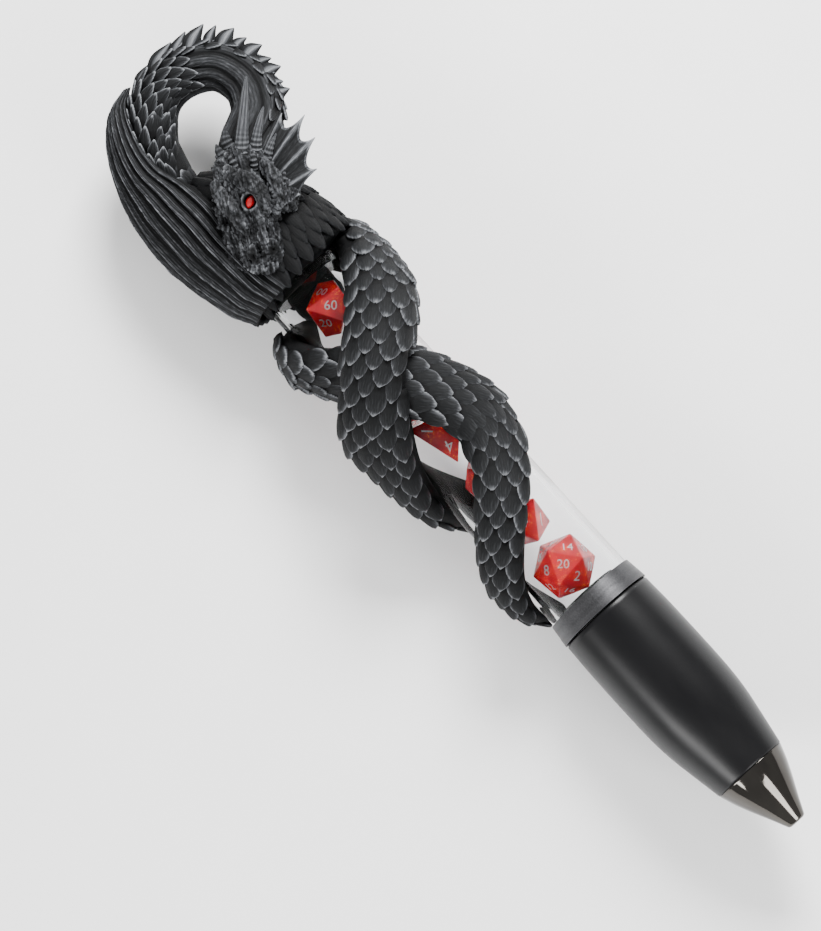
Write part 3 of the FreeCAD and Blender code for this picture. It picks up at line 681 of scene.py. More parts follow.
def limb_seats(face, start, end, turn_start, turn_end, pitch, width, size=1.0, sweep=0.0):
    """Staggered scale roots over a stretch of a limb; lengths in mm, turns in degrees, tips swept sideways."""
    seats = []
    nudge = 0.15 * MM
    for row, along in enumerate(np.arange(start, end, pitch)):
        distance = along * MM
        sweep_turns = np.linspace(turn_start, turn_end, 37)
        ring = face(np.full(len(sweep_turns), distance), np.radians(sweep_turns))
        girth = np.concatenate([[0], np.cumsum(np.linalg.norm(np.diff(ring, axis=0), axis=1))])
        count = max(2, int(girth[-1] / (width * MM)))
        for n in range(count + (row % 2 == 0)):
            place = (n + (0.0 if row % 2 == 0 else 0.5)) / count * girth[-1]
            turn = math.radians(np.interp(place, girth, sweep_turns))
            here = face(distance, turn)
            front, beside = face(distance + nudge, turn), face(distance, turn + 0.02)
            along_way = (front - here) / np.linalg.norm(front - here)
            across_way = (beside - here) / np.linalg.norm(beside - here)
            seats.append((here, np.cross(across_way, -along_way), along_way + sweep * across_way, size))
    return seats


shoulder_face = limb_face([(-45, -10, -4, 5, 7), (-36, -7, -3, 9, 12), (-20, 0, 0, 15.5, 16.5),
                           (-9, 2, 0, 16.6, 17.2),
                           (-0.15, 3.2, 0, 16.4, 17.0)], 8, 0.8)
shoulder = limb_piece("feathered_shoulder", shoulder_face, 70, 72,
                      lambda d, t: 0.35 * np.sin(t * 23 + d * 0.4))
pad_low, pad_high = 0.0, AXIS - SEAT - 0.2 * MM
PAD_BACK, PAD_FRONT, PAD_EASE = -42, 8, 2.5
pad_along, pad_around = np.linspace(PAD_BACK, PAD_FRONT, 40), np.arange(48) * 2 * math.pi / 48
pad_points = []
for x in pad_along:
    ease = max(0.02, min(1, (x - PAD_BACK) / PAD_EASE, (PAD_FRONT - x) / PAD_EASE)) ** 0.5
    for turn in pad_around:
        y, z = (math.copysign(abs(f(turn)) ** 0.4, f(turn)) for f in (math.cos, math.sin))
        ripple = 1 + 0.02 * math.sin(x * 1.3 + turn * 3)
        pad_points.append((x * MM, y * 8.3 * MM * ripple * (0.8 + 0.2 * ease),
                           (pad_low + pad_high) / 2 + z * (pad_high - pad_low) / 2 * (0.85 + 0.15 * ease)))
pad = finished_mesh("pouring_pad", pad_points, ring_faces(len(pad_along), len(pad_around)))
set_look(pad.data, [0.25] * len(pad.data.vertices), pad_points)


def joined(main, *others):
    """Joins pieces into the first one."""
    with bpy.context.temp_override(active_object=main, selected_editable_objects=[main, *others]):
        bpy.ops.object.join()
    return main


joined(shoulder, pad)
# The feather scales get half the usual tone (0.5): painted shade, darkening them as if they lay in shadow.
feather_scale = scale_plate("feather_scale", 5.0 * MM, 9.5 * MM, 1.3 * MM, ridge=0.2, bow=1.7, tone=0.5)
feather_seats = limb_seats(shoulder_face, 10, shoulder_face.length / MM - 3.6, -60, 245, 4.0, 4.6, sweep=-0.2)
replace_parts(scaled_limb("feathered_shoulder", shoulder, feather_seats, feather_scale, 11), "shoulder")


# ---------------------------------------------------------------- neck loop
# The neck curls round into a ring for a cord. It is cast with the rest: leafy scales outside, bare sinews
# running over its top to the head, and a row of broad plates along its lower run.
neck_face = limb_face([(-38, -8.0, -4, 5.4, 6.5), (-48, -8.8, -2, 5.4, 6.8), (-57, -5.0, 0, 6.0, 7.0),
                       (-65.6, 3, 0.5, 6.6, 7.0), (-66.6, 13, 1, 6.5, 7.0), (-61.5, 22.5, 2, 6.6, 7.0),
                       (-52, 25.6, 4, 6.8, 7.0),
                       (-43, 22.2, 8, 6.9, 7.0), (-37.5, 14, 12.5, 7.0, 7.0), (-33.5, 9, 15, 7.0, 7.0)], 5, 5)
neck_length = neck_face.length / MM


def sinews(distance, turn):
    """Strands that wind slowly round the neck, in mm above its skin."""
    wound = turn * 5 + 0.07 * distance + 0.7 * np.sin(distance * 0.09 + turn * 2)
    fine = turn * 21 + 0.16 * distance + 0.9 * np.sin(distance * 0.13 + turn * 3)
    return 0.8 * np.abs(np.cos(wound)) ** 0.7 - 0.45 + 0.26 * np.abs(np.cos(fine)) ** 0.8


neck = limb_piece("leafy_neck_loop", neck_face, 300, 240, sinews, 0.55)
leaf_scale = scale_plate("leaf_scale", 3.9 * MM, 6.8 * MM, 1.5 * MM, ridge=0.35, bow=1.3, tone=1.1)
leaf_seats = limb_seats(neck_face, 9, 0.50 * neck_length, 48, 268, 2.9, 3.3, sweep=-0.45)
leaf_seats += limb_seats(neck_face, 0.50 * neck_length, 0.86 * neck_length, 138, 240, 3.1, 3.3, 0.9, -0.45)
neck = scaled_limb("leafy_neck_loop", neck, leaf_seats, leaf_scale, 5)
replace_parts(neck, "neck_loop")
plate_seats = limb_seats(neck_face, 4, 25, 28, 80, 4.8, 5.2, size=0.85)
plates = limb_piece("loop_plates", limb_face([(-44, -6.5, -1, 4, 5.5), (-58, -2.6, 0, 4, 5.5)], 3, 3), 20, 24)
joined(neck, scaled_limb("loop_plates", plates, plate_seats, big_scale, 6))


# ---------------------------------------------------------------- folded wing
# The wing lies folded along the pen's side, its long pinions gathered at the wrist and fanning out to the tube.
# It is cast with the body; every pinion laps the next like a roof tile, with a fine barb texture cut in.
def shell_faces(rows, wide):
    """Faces of two matching skins, each a grid of points, closed round their rim."""
    under = rows * wide
    faces = []
    for i in range(rows - 1):
        for k in range(wide - 1):
            a, b, c, d = i * wide + k, i * wide + k + 1, (i + 1) * wide + k + 1, (i + 1) * wide + k
            faces += [(a, b, c, d), (under + d, under + c, under + b, under + a)]
    rim = ([i * wide for i in range(rows)] + [(rows - 1) * wide + k for k in range(1, wide)]
           + [i * wide + wide - 1 for i in range(rows - 2, -1, -1)] + list(range(wide - 2, 0, -1)))
    return faces + [(a, b, under + b, under + a) for a, b in zip(rim, rim[1:] + rim[:1])]


wing_lines = [
    [(-74.2, 0.6, 0), (-69.5, -4.6, 4), (-60, -8.0, 6), (-50, -8.8, 8), (-40, -6.0, 11), (-30, -4.5, 14.5),
     (-20, -5, 16.5), (-8, -5, 17.6), (0.9, -4, 16.4)],
    [(-74.6, -1.0, 0.8), (-71, -7.3, 5), (-62.5, -12.5, 8), (-52, -15.2, 9.5), (-42, -15, 11.5), (-31, -14.8, 13),
     (-20, -14.5, 14), (-8, -13.6, 14.2), (0.9, -12, 13.4)],
    [(-74.2, -2.8, 0), (-71, -10, 1), (-63.5, -16.5, 2), (-53.5, -21.3, 2), (-43, -24, 2), (-31, -25, 2),
     (-20, -24, 1.5), (-9, -21.3, 1.5), (0.9, -18.2, 1.5)],
    [(-73, -2.4, -2.5), (-69.5, -8, -5), (-61, -13.5, -7), (-52, -17.5, -8), (-42, -19.5, -9), (-31, -20, -10),
     (-20, -19.5, -10), (-9, -18, -9.5), (0.9, -15.2, -9)]]
PINIONS = 10
along_steps, strip = 24, 16
controls = np.array([smooth_line(line, along_steps) for line in wing_lines])
rows = controls.shape[1]
columns = PINIONS * strip
BETWEEN_LINES = 12
skin = np.array([smooth_line(controls[:, i], BETWEEN_LINES) for i in range(rows)])
gaps = BETWEEN_LINES * (len(wing_lines) - 1)
part = np.arange(rows) / (rows - 1)
rib = np.linspace(0, 1, columns + 1)
top = np.array([np.stack([np.interp(rib * gaps, np.arange(gaps + 1), skin[i, :, k]) for k in range(3)], -1)
                for i in range(rows)])
way_along, way_across = np.gradient(top, axis=0), np.gradient(top, axis=1)
outward = np.cross(way_across, way_along)
outward /= np.linalg.norm(outward, axis=2)[..., None]
if outward[rows // 2, columns // 3, 2] < 0:
    outward = -outward
wander = 0.10 * np.sin(part * 7)[:, None] + 0.03 * np.sin(part * 31 + 1)[:, None]
lane = rib[None, :] * PINIONS + wander * np.sin(rib * math.pi)[None, :]
within = lane - np.floor(lane)
lap = np.where(within < 0.86, (within / 0.86) ** 1.3, (1 - within) / 0.14)
height = (0.35 + 1.25 * np.sin(np.clip(part * 1.15, 0, 1) * math.pi * 0.5) ** 0.8
          * np.clip((1 - part) / 0.08, 0.25, 1))[:, None]
shaft = np.exp(-((within - 0.45) / 0.06) ** 2) * 0.22
barbs = 0.13 * np.sin(within * 38 + 2 * np.sin(part[:, None] * 14 + np.floor(lane) * 2.1))
surface = top + outward * ((lap + shaft + barbs) * height)[..., None]
across_run = np.cumsum(np.linalg.norm(np.gradient(top, axis=1), axis=2), axis=1)
along_run = np.cumsum(np.linalg.norm(np.gradient(top, axis=0), axis=2), axis=0)
grain = np.stack([across_run, along_run, 0 * across_run], -1) * MM
raised = 0.16 + 0.5 * lap ** 2 + 1.2 * shaft + 1.5 * barbs
thickness = np.interp(top[..., 0], [-74, -66, -40, -12, -2, 1], [1.0, 4, 8, 6, 2.6, 1.6])
inward = top - outward * thickness[..., None]
points = np.concatenate([surface.reshape(-1, 3), inward.reshape(-1, 3)])
wing = finished_mesh("folded_pinions", above(points), shell_faces(rows, columns + 1))
set_look(wing.data, np.concatenate([raised.ravel(), 0.1 * np.ones(raised.size)]),
         np.concatenate([grain.reshape(-1, 3)] * 2))
wing.data.materials.append(cast_resin)
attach(wing, "barrel")
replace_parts(wing, "folded_wing")


# ---------------------------------------------------------------- head
# The head lies across the shoulder, looking down the pen. It is cast with the body: heavy brows and cheekbones,
# folded lips, pitted nostrils and a skin of small knobbly scales, left by the carved master.
def thin_limb(name, stations, around=20, rings=40, swell=None, strength=0.5, tone=0.2):
    """A slender limb with rounded ends through (x, y, height, radius) or (x, y, height, across, deep) stations."""
    full = [s if len(s) == 5 else (*s, s[3]) for s in stations]
    blunt = max(0.3, min(full[0][3], full[0][4]))
    return limb_piece(name, limb_face(full, blunt, 0.3), rings, around, swell, strength, tone)


gem_low, gem_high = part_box("eye_gem")
EYE_X = -24.3  # where the eye lies in the stations below
HEAD_FORWARD = (gem_low[0] + gem_high[0]) / 2 / MM - EYE_X


def of_head(stations):
    """Moves stations drawn for the head to where the head lies along the pen."""
    return [(s[0] + HEAD_FORWARD, *s[1:]) for s in stations]


HEAD_MASSES = [
    [(-40, 10.5, 16.5, 5.0, 5.2), (-35, 8.2, 18, 7.6, 6.4), (-29, 5.4, 18.5, 8.8, 6.8), (-23, 2.2, 18.2, 7.8, 6.4),
     (-17.5, -1.2, 17.4, 5.8, 5.4), (-12.5, -3.9, 17.0, 4.9, 4.4), (-8.6, -5.0, 16.8, 3.8, 3.4)],
    [(-28, 11.8, 14.5, 5.0, 6.4), (-22.5, 11.2, 15.5, 5.6, 6.6), (-17.8, 8.0, 15.3, 3.6, 4.8)],
    [(-37, 4.6, 22.2, 1.2), (-32, 5.4, 25.2, 2.1), (-27, 7.2, 26.6, 2.3), (-22.4, 6.4, 26.2, 2.0),
     (-18.6, 3.4, 24.6, 1.2)],
    [(-33, 12.5, 22.6, 1.3), (-27, 13.2, 24.0, 2.0), (-21.5, 10.8, 23.4, 1.8), (-16.8, 5.6, 21.8, 1.1)],
    [(-22.6, 4.6, 25.4, 1.5), (-18, 1.2, 24.2, 1.5), (-13.4, -1.8, 22.4, 1.35), (-9.8, -4.3, 20.2, 1.1)],
    [(-36, 0.2, 20.6, 1.6), (-30, -1.6, 23.2, 2.1), (-24, -1.8, 23.8, 1.9), (-19, -3.6, 22.2, 1.4),
     (-14.2, -6.0, 20.4, 0.9)],
    [(-31, -2.2, 16.5, 2.6), (-24, -4.8, 16.4, 2.9), (-18.2, -8.8, 15.6, 2.5), (-13, -9.0, 15.2, 1.9),
     (-9.4, -6.6, 15.0, 1.8)],
    [(-22, -4.2, 19.4, 1.1), (-16.5, -7.0, 19.0, 1.6), (-11.6, -7.6, 18.4, 1.6), (-8.3, -5.4, 18.2, 1.4),
     (-8.6, -1.6, 18.4, 1.35), (-12.2, 1.6, 18.8, 1.3), (-17.0, 4.6, 19.0, 1.0)],
    [(-15.6, -4.6, 21.0, 1.1), (-13.4, -5.6, 21.8, 1.6), (-11.2, -6.2, 20.6, 1.0)],
    [(-13.2, 0.4, 21.4, 1.1), (-11.0, -0.4, 21.8, 1.6), (-9.4, -1.8, 20.4, 1.0)],
    [(-24.5, -5.5, 14.6, 1.5), (-20.6, -9.2, 14.6, 1.2), (-18.4, -11.2, 14.2, 0.5)],
    [(-33, 7.8, 20.5, 3.2), (-36.3, 10.4, 21.6, 3.0), (-38.4, 12.4, 22.4, 2.2)],
    [(-31, 11, 19.5, 2.8), (-34.6, 14, 21.0, 2.0)], [(-28, 12, 18.5, 2.4), (-31.2, 14.6, 20.4, 1.7)],
    [(-25.7, 6.0, 25.6, 0.5), (-23.2, 5.4, 26.3, 0.65), (-22.0, 3.4, 26.0, 0.65), (-22.9, 0.9, 24.9, 0.5)],
    [(-25.7, 6.0, 25.6, 0.5), (-26.4, 3.9, 26.0, 0.65), (-25.4, 1.9, 25.7, 0.65), (-22.9, 0.9, 24.9, 0.5)]]
masses = [thin_limb("mass", of_head(stations)) for stations in HEAD_MASSES]
head = joined(*masses)
head.name = "dragon_head"
remesh = head.modifiers.new("remesh", "REMESH")
remesh.mode, remesh.voxel_size = "VOXEL", 0.25 * MM
ease = head.modifiers.new("ease", "SMOOTH")
ease.factor, ease.iterations = 0.5, 3
head.data = as_seen(head)
head.modifiers.clear()


def point_array(mesh, what="co"):
    """Every point of a mesh, or every normal, as an array."""
    values = np.empty(len(mesh.vertices) * 3, np.float32)
    (mesh.vertices if what == "co" else mesh.vertex_normals).foreach_get("co" if what == "co" else "vector", values)
    return values.reshape(-1, 3).astype(float)


def distance_to(points, line):
    """Distance in mm from each point to a smooth line through (x, y, height over the axis) places."""
    path = above(smooth_line(line, 14))
    return np.min(np.linalg.norm(points[:, None] - path[None], axis=2), axis=1) / MM


def skin_noise(places):
    """Smooth noise between -1 and 1 at each place."""
    return np.array([plain_noise(place) for place in places])


def knobs(points, pitch, chance):
    """Two nearest distances, in mm, to knobbly seeds strewn over the points at a pitch in mm."""
    cells = np.unique(np.floor(points / (pitch * MM)).astype(int), axis=0, return_index=True)[1]
    seeds = points[cells] + chance.uniform(-0.18, 0.18, (len(cells), 3)) * pitch * MM
    tree = KDTree(len(seeds))
    for n, seed in enumerate(seeds):
        tree.insert(seed, n)
    tree.balance()
    found = [[hit[2] for hit in tree.find_n(p, 2)] for p in points]
    return np.array(found).T / MM


skin_points, normals = point_array(head.data), point_array(head.data, "normal")
chance = np.random.default_rng(17)
first, second = knobs(skin_points, 1.6, chance)
cell_gap = np.exp(-((second - first) / 0.3) ** 2)
x, y, z = (skin_points / MM - [HEAD_FORWARD, 0, AXIS / MM]).T
LOOK_X, LOOK_Y = 0.882, 0.471  # the head looks along (LOOK_X, -LOOK_Y)
run, off = x * LOOK_X - y * LOOK_Y, x * LOOK_Y + y * LOOK_X
eye_gap = np.linalg.norm(np.stack([x - EYE_X, y - 3.4, z - 25.9], -1), axis=1)
calm = np.clip((eye_gap - 1.8) / 1.5, 0, 1)
swell = (0.05 - 0.20 * cell_gap - 0.05 * first) * calm
lumps = skin_noise(np.stack([off * 0.34, run * 0.24, z * 0.3], -1))
furrows = 1 - 2.2 * np.abs(skin_noise(np.stack([off * 0.95, run * 0.30, z * 0.8], -1) + 7))
cracks = 1 - 2.2 * np.abs(skin_noise(np.stack([off * 2.1, run * 1.1, z * 1.8], -1) + 31))
swell += (0.42 * lumps + 0.42 * furrows + 0.20 * cracks) * calm
MOUTH = [(-25, -5.4, 17.8), (-17.5, -9.2, 17.2), (-11.8, -9.6, 16.8), (-7.0, -6.4, 16.6), (-7.0, -1.4, 16.8),
         (-11.4, 3.2, 17.1), (-16.5, 6.6, 17.3)]
swell -= 1.0 * np.exp(-(distance_to(skin_points, of_head(MOUTH)) / 0.5) ** 2)
for nostril in ((-12.6, -6.4, 22.9), (-10.2, -0.8, 23.0)):
    swell -= 1.6 * np.exp(-(np.linalg.norm(np.stack([x, y, z], -1) - nostril, axis=1) / 0.85) ** 2)
for fold in (-10.4, -9.2, -7.8, -6.2):
    swell -= 0.18 * np.exp(-((run - fold - 0.3 * np.sin(off)) / 0.24) ** 2) * (z > 17)
swell -= 0.8 * np.exp(-(eye_gap / 1.5) ** 2)
skin_points += normals * swell[:, None] * MM
head.data.vertices.foreach_set("co", skin_points.astype(np.float32).ravel())
outwards(head.data)
head.data.shade_smooth()
painted_top_highlight = np.clip(normals[:, 2], 0, 1)
lids = np.exp(-((eye_gap - 2.4) / 0.45) ** 2) * (z > 24.8)
for name in ("raised", "grain"):
    if name in head.data.attributes:
        head.data.attributes.remove(head.data.attributes[name])
ridges = np.zeros(len(x))
for stations in HEAD_MASSES[2:10]:
    beyond = np.maximum(distance_to(skin_points, of_head([s[:3] for s in stations])) - 1.7, 0)
    ridges = np.maximum(ridges, np.exp(-(beyond / 0.7) ** 2))
# Head tone: dry-brushed grey by how far the skin swells and on the lid rims, plus a painted highlight on the up-facing
# sides of the ridges.
head_tone = 0.39 + 0.66 * (swell - swell.mean()) + 0.12 * ridges * painted_top_highlight + 0.4 * lids
set_look(head.data, np.clip(head_tone, 0, 1), np.stack([off, run, z], -1) * MM)


def finish_casting(piece, node_name):
    """Marks a piece as part of the casting, in place of a frame part."""
    piece.data.materials.clear()
    piece.data.materials.append(cast_resin)
    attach(piece, "barrel")
    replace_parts(piece, node_name)


finish_casting(head, "head")


# ---------------------------------------------------------------- horns and cheek spikes
# One long ringed horn and two short ones sweep back from the crown, with a row of spikes behind the jaw.
# All are cast with the head, grooved along their length and ringed at the root.
def horn_skin(distance, turn):
    """Fine grooves along a horn and rings round its root, in mm."""
    root = np.exp(-(distance / 5.5) ** 2)
    rings = 0.17 * np.sin(distance * 4.6 + 0.5 * np.sin(turn)) * root
    return rings + (0.13 * np.abs(np.sin(turn * 4 + distance * 0.12)) - 0.06) * (1 - root)


HORNS = [
    [(-34.6, 9.2, 21.6, 2.5), (-39.4, 13.6, 23.4, 1.8), (-44.2, 18.6, 24.2, 1.3), (-48.4, 22.8, 24.0, 0.85),
     (-51.7, 26.2, 23.2, 0.2)],
    [(-33.0, 12.4, 20.6, 1.9), (-37.0, 16.8, 22.4, 1.4), (-40.2, 21.0, 22.6, 0.85), (-42.3, 24.0, 22.0, 0.15)],
    [(-29.8, 13.0, 19.8, 1.6), (-32.2, 17.2, 21.6, 1.05), (-34.4, 21.6, 21.4, 0.15)]]
horns = joined(*[thin_limb("swept_horns", of_head(horn), 36, 110, horn_skin, 1.8, 0.58) for horn in HORNS])
finish_casting(horns, "horns")
SPIKES = [
    ((-25.5, -2.0), (-28.9, -4.0), (-31.6, -5.6), 1.7, 18.6), ((-22.0, -4.0), (-24.6, -6.4), (-26.6, -8.4), 1.3,
                                                               18.6),
    ((-30.5, 0.8), (-33.9, -0.9), (-36.8, -1.7), 1.8, 18.6), ((-33.6, 3.6), (-37.4, 2.2), (-40.2, 1.9), 1.8, 18.6),
    ((-36.6, 6.6), (-41.0, 6.4), (-44.0, 7.2), 1.9, 19.0), ((-38.0, 9.0), (-43.0, 10.2), (-46.2, 12.6), 1.9, 19.4),
    ((-28.4, -0.4), (-31.0, -2.8), (-32.8, -4.2), 1.1, 20.6), ((-35.4, 4.4), (-38.6, 4.6), (-41.4, 4.9), 1.1, 20.6),
    ((-30.0, 10.2), (-32.6, 12.0), (-34.8, 13.2), 1.1, 24.4), ((-26.6, 12.8), (-28.8, 14.8), (-31.2, 16.2), 1.2,
                                                               23.2),
    ((-33.4, 6.4), (-36.0, 7.2), (-38.8, 7.6), 1.2, 23.6), ((-22.0, 12.2), (-23.4, 14.6), (-25.2, 16.6), 1.0, 21.6)]
spikes = []
for root, middle, point, r, up in SPIKES:
    stations = [(*root, up, 0.9 * r, r), (*middle, up + 0.8, 0.75 * r, 0.8 * r), (*point, up + 0.4, 0.15, 0.15)]
    spikes.append(thin_limb("jaw_spikes", of_head(stations), 24, 60, horn_skin, 1.8, 0.46))
spikes = joined(*spikes)
finish_casting(spikes, "cheek_spikes")


# ---------------------------------------------------------------- ear frill
# A webbed ear fans out behind the cheek: five stiff ribs with a thin scalloped skin between them,
# cast as one wavy blade that stands off the shoulder.
FRILL_TIPS = above(of_head([
    (-37.8, 26.6, 20), (-33.2, 31.0, 19.5), (-26.6, 28.9, 19), (-19.8, 23.4, 18.2), (-17.8, 15.2, 17.5)]))
FRILL_ROOTS = above(of_head([
    (-31.0, 11.5, 19.5), (-28.4, 11.8, 20), (-25.0, 11.5, 20), (-21.8, 10.2, 19), (-18.8, 7.5, 17.5)]))
spans, reach_steps, span_steps = len(FRILL_TIPS) - 1, 40, 22
web = np.linspace(0, spans, spans * span_steps + 1)
out = np.linspace(0, 1, reach_steps + 1)
blend = web - np.minimum(np.floor(web), spans - 1)
ribs = np.exp(-(np.minimum(blend, 1 - blend) / 0.11) ** 2)
dip = 1 - 0.24 * (4 * blend * (1 - blend)) ** 0.7


def between_ribs(places):
    """Places spread evenly from rib to rib."""
    return np.stack([np.interp(web, np.arange(spans + 1), places[:, k]) for k in range(3)], -1)


roots_line, tips_line = between_ribs(FRILL_ROOTS), between_ribs(FRILL_TIPS)
blade = roots_line[None] + (tips_line - roots_line)[None] * (out[:, None] * dip[None])[..., None]
veins = np.abs(np.sin(web * math.pi * 4))[None]
thick = 0.5 + 0.75 * ribs[None] * (1 - 0.75 * out[:, None]) + 0.12 * veins * out[:, None]
sag = 1.3 * np.sin(out * math.pi)[:, None] - 0.7 * (4 * blend * (1 - blend))[None] * out[:, None]
top_skin = blade + np.stack([0 * sag, 0 * sag, sag + thick], -1) * MM
low_skin = blade + np.stack([0 * sag, 0 * sag, sag - thick], -1) * MM
frill = finished_mesh("webbed_ear", np.concatenate([top_skin.reshape(-1, 3), low_skin.reshape(-1, 3)]),
                      shell_faces(reach_steps + 1, len(web)))
frill_raised = 0.26 + 0.5 * ribs[None] + 0.3 * (out[:, None] > 0.93) + 0.1 * veins
frill_grain = np.stack([np.broadcast_to(web * 6, thick.shape), np.broadcast_to(out[:, None] * 18, thick.shape),
                        0 * thick], -1)
set_look(frill.data, np.concatenate([frill_raised.ravel()] * 2),
         np.concatenate([frill_grain.reshape(-1, 3) * MM] * 2))
finish_casting(frill, "ear_frill")


# ---------------------------------------------------------------- crest blades
# A row of leaf-shaped blades stands along the outer edge of the neck loop, raked back towards the head.
# They are cast with the neck, each with a raised midrib and fine veins.
def leaf_skin(distance, turn):
    """A midrib on both flats and fine veins running alongside it, in mm."""
    return 0.35 * np.abs(np.sin(turn)) ** 10 + 0.05 * np.sin(turn * 14)


BLADES = [((-71.0, 1.5), (-73.4, 4.6), (-75.2, 9.4), 0.8), ((-71.4, 7.0), (-73.8, 11.6), (-75.4, 17.6), 1.0),
          ((-71.0, 13.5), (-73.0, 17.6), (-75.0, 22.6), 0.8), ((-69.0, 18.6), (-71.4, 22.6), (-72.8, 27.8), 1.0),
          ((-66.0, 23.4), (-68.6, 26.4), (-70.2, 30.2), 0.7), ((-63.4, 25.4), (-65.2, 29.6), (-65.8, 33.4), 1.0),
          ((-60.0, 27.6), (-61.6, 30.8), (-61.4, 34.2), 0.75), ((-56.4, 28.4), (-57.4, 32.2), (-56.6, 36.0), 1.0),
          ((-53.0, 29.0), (-53.4, 32.2), (-52.0, 35.4), 0.75), ((-49.6, 28.4), (-49.6, 32.2), (-48.2, 35.8), 1.0),
          ((-46.6, 27.4), (-46.2, 30.8), (-44.6, 33.4), 0.75), ((-43.6, 25.4), (-42.8, 29.6), (-41.6, 33.4), 0.95),
          ((-41.0, 22.4), (-39.6, 26.0), (-38.6, 28.8), 0.75)]
blades = []
for n, (root, middle, point, grow) in enumerate(BLADES):
    height = 1.5 + 0.45 * n + 0.8 * (n % 2)
    stations = [(*root, height, 2.1 * grow, 1.3 * grow), (*middle, height + 0.8, 2.5 * grow, 0.9 * grow),
                (*point, height, 0.12, 0.12)]
    blades.append(thin_limb("crest_blades", stations, 30, 50, leaf_skin, 1.6, 0.3))
finish_casting(joined(*blades), "crest_spines")


# ---------------------------------------------------------------- eye gem
# A small almond-cut red glass stone is glued in the eye socket, its pointed ends along the lids.
red_gem, shader = new_material("red_gem")
depths = noise(red_gem, 900, detail=3)
tint(red_gem, shader, "Base Color", depths, (0.3, (0.22, 0.002, 0.004)), (0.7, (0.48, 0.006, 0.010)))
tint(red_gem, shader, "Roughness", depths, (0.3, 0.05), (0.7, 0.12))
bump(red_gem, depths, 0.00001, shader)
shader.inputs["Coat Weight"].default_value = 1.0
eye = np.array([EYE_X + HEAD_FORWARD, 3.45, 25.2])
gem_along, gem_across = np.array([0.47, -0.88, 0]), np.array([0.88, 0.47, 0])
gem_points = []
for size, height in ((0.75, -1.0), (1.0, 0.0), (0.82, 0.75), (0.5, 1.15)):
    for i in range(12):
        turn = i * math.pi / 6
        pointed = 1 + 0.22 * abs(math.cos(turn)) ** 3
        gem_points.append(eye + size * (gem_along * 1.65 * pointed * math.cos(turn) + gem_across * 1.3 * math.sin(turn))
                          + [0, 0, height])
gem = finished_mesh("almond_eye_gem", above(gem_points), ring_faces(4, 12), smooth=False)
gem.data.materials.append(red_gem)
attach(gem, "barrel")
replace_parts(gem, "eye_gem")


# ---------------------------------------------------------------- dice
# Seven tumbled resin dice with softened edges, cast in translucent red with orange glitter stirred in.
# On the real dice the numbers are sunk in the faces and filled with silver paint; here they are thin silver prints
# standing just proud of the faces.
red_dice, shader = new_material("red_dice")
clouds = noise(red_dice, 260, detail=4)
flecks = add(red_dice, "ShaderNodeTexVoronoi", Scale=3400)
wire(red_dice, add(red_dice, "ShaderNodeTexCoord").outputs["Object"], flecks.inputs["Vector"])
lit = ramp(red_dice, flecks.outputs["Color"], [(0.74, (0, 0, 0)), (0.8, (1, 1, 1))])
patches = ramp(red_dice, clouds, [(0.46, (0, 0, 0)), (0.6, (1, 1, 1))])
glitter = add(red_dice, "ShaderNodeMath", operation="MULTIPLY")
wire(red_dice, lit, glitter.inputs[0])
wire(red_dice, patches, glitter.inputs[1])
blend_red = add(red_dice, "ShaderNodeMix", data_type="RGBA")
wire(red_dice, glitter.outputs[0], blend_red.inputs[0])
wire(red_dice, ramp(red_dice, clouds, [(0.35, (0.36, 0.004, 0.012)), (0.65, (0.60, 0.010, 0.016))]),
     blend_red.inputs[6])
blend_red.inputs[7].default_value = (0.95, 0.16, 0.02, 1)
wire(red_dice, blend_red.outputs[2], shader.inputs["Base Color"])
tint(red_dice, shader, "Roughness", clouds, (0.3, 0.16), (0.7, 0.28))
shader.inputs["Transmission Weight"].default_value = 0.12
bump(red_dice, clouds, 0.00003, shader)
silver_paint, shader = new_material("silver_paint")
shader.inputs["Metallic"].default_value = 0.6
flakes = noise(silver_paint, 5200, detail=2)
tint(silver_paint, shader, "Base Color", flakes, (0.35, (0.42, 0.43, 0.44)), (0.65, (0.74, 0.75, 0.76)))
tint(silver_paint, shader, "Roughness", flakes, (0.3, 0.3), (0.7, 0.5))
bump(silver_paint, flakes, 0.00002, shader)
READ_UP = Vector((-0.737, 0.676, 0.08))
EDGE_ROUND = 0.32 * MM
FACE_MARKS = {
    "die_00": ["60", "00", "20", "80", "40", "10", "90", "30", "70", "50"],
    "die_10": ["7", "2", "8", "4", "0", "1", "9", "3", "6", "5"],
    "die_12": ["12", "5", "10", "8", "7", "4", "9", "6", "3", "11", "2", "1"],
    "die_6": ["6", "2", "4", "3", "5", "1"],
    "die_8": ["4", "2", "7", "1", "8", "3", "6", "5"],
    "die_20": ["20", "14", "8", "2", "4", "6", "18", "12", "10", "16", "5", "11", "3", "9", "15", "17", "19", "7",
               "13", "1"]}
CORNER_MARKS = ["4", "2", "1", "3"]


def printed(words, place, outward, up, size):
    """A thin raised print of a number, standing just proud of a face."""
    text = bpy.data.curves.new("number", "FONT")
    text.body, text.size, text.extrude = words, size, 0.04 * MM
    text.align_x, text.align_y = "CENTER", "CENTER"
    text.resolution_u = 3
    holder = new_object("number", text)
    bpy.context.view_layer.update()
    mesh = as_seen(holder)
    bpy.data.objects.remove(holder)
    up = (up - outward * up.dot(outward)).normalized()
    mesh.transform(Matrix.Translation(place + outward * 0.015 * MM)
                   @ Matrix((up.cross(outward), up, outward)).transposed().to_4x4())
    outwards(mesh)
    mesh.materials.clear()
    mesh.materials.append(silver_paint)
    number = new_object("number", mesh)
    return number


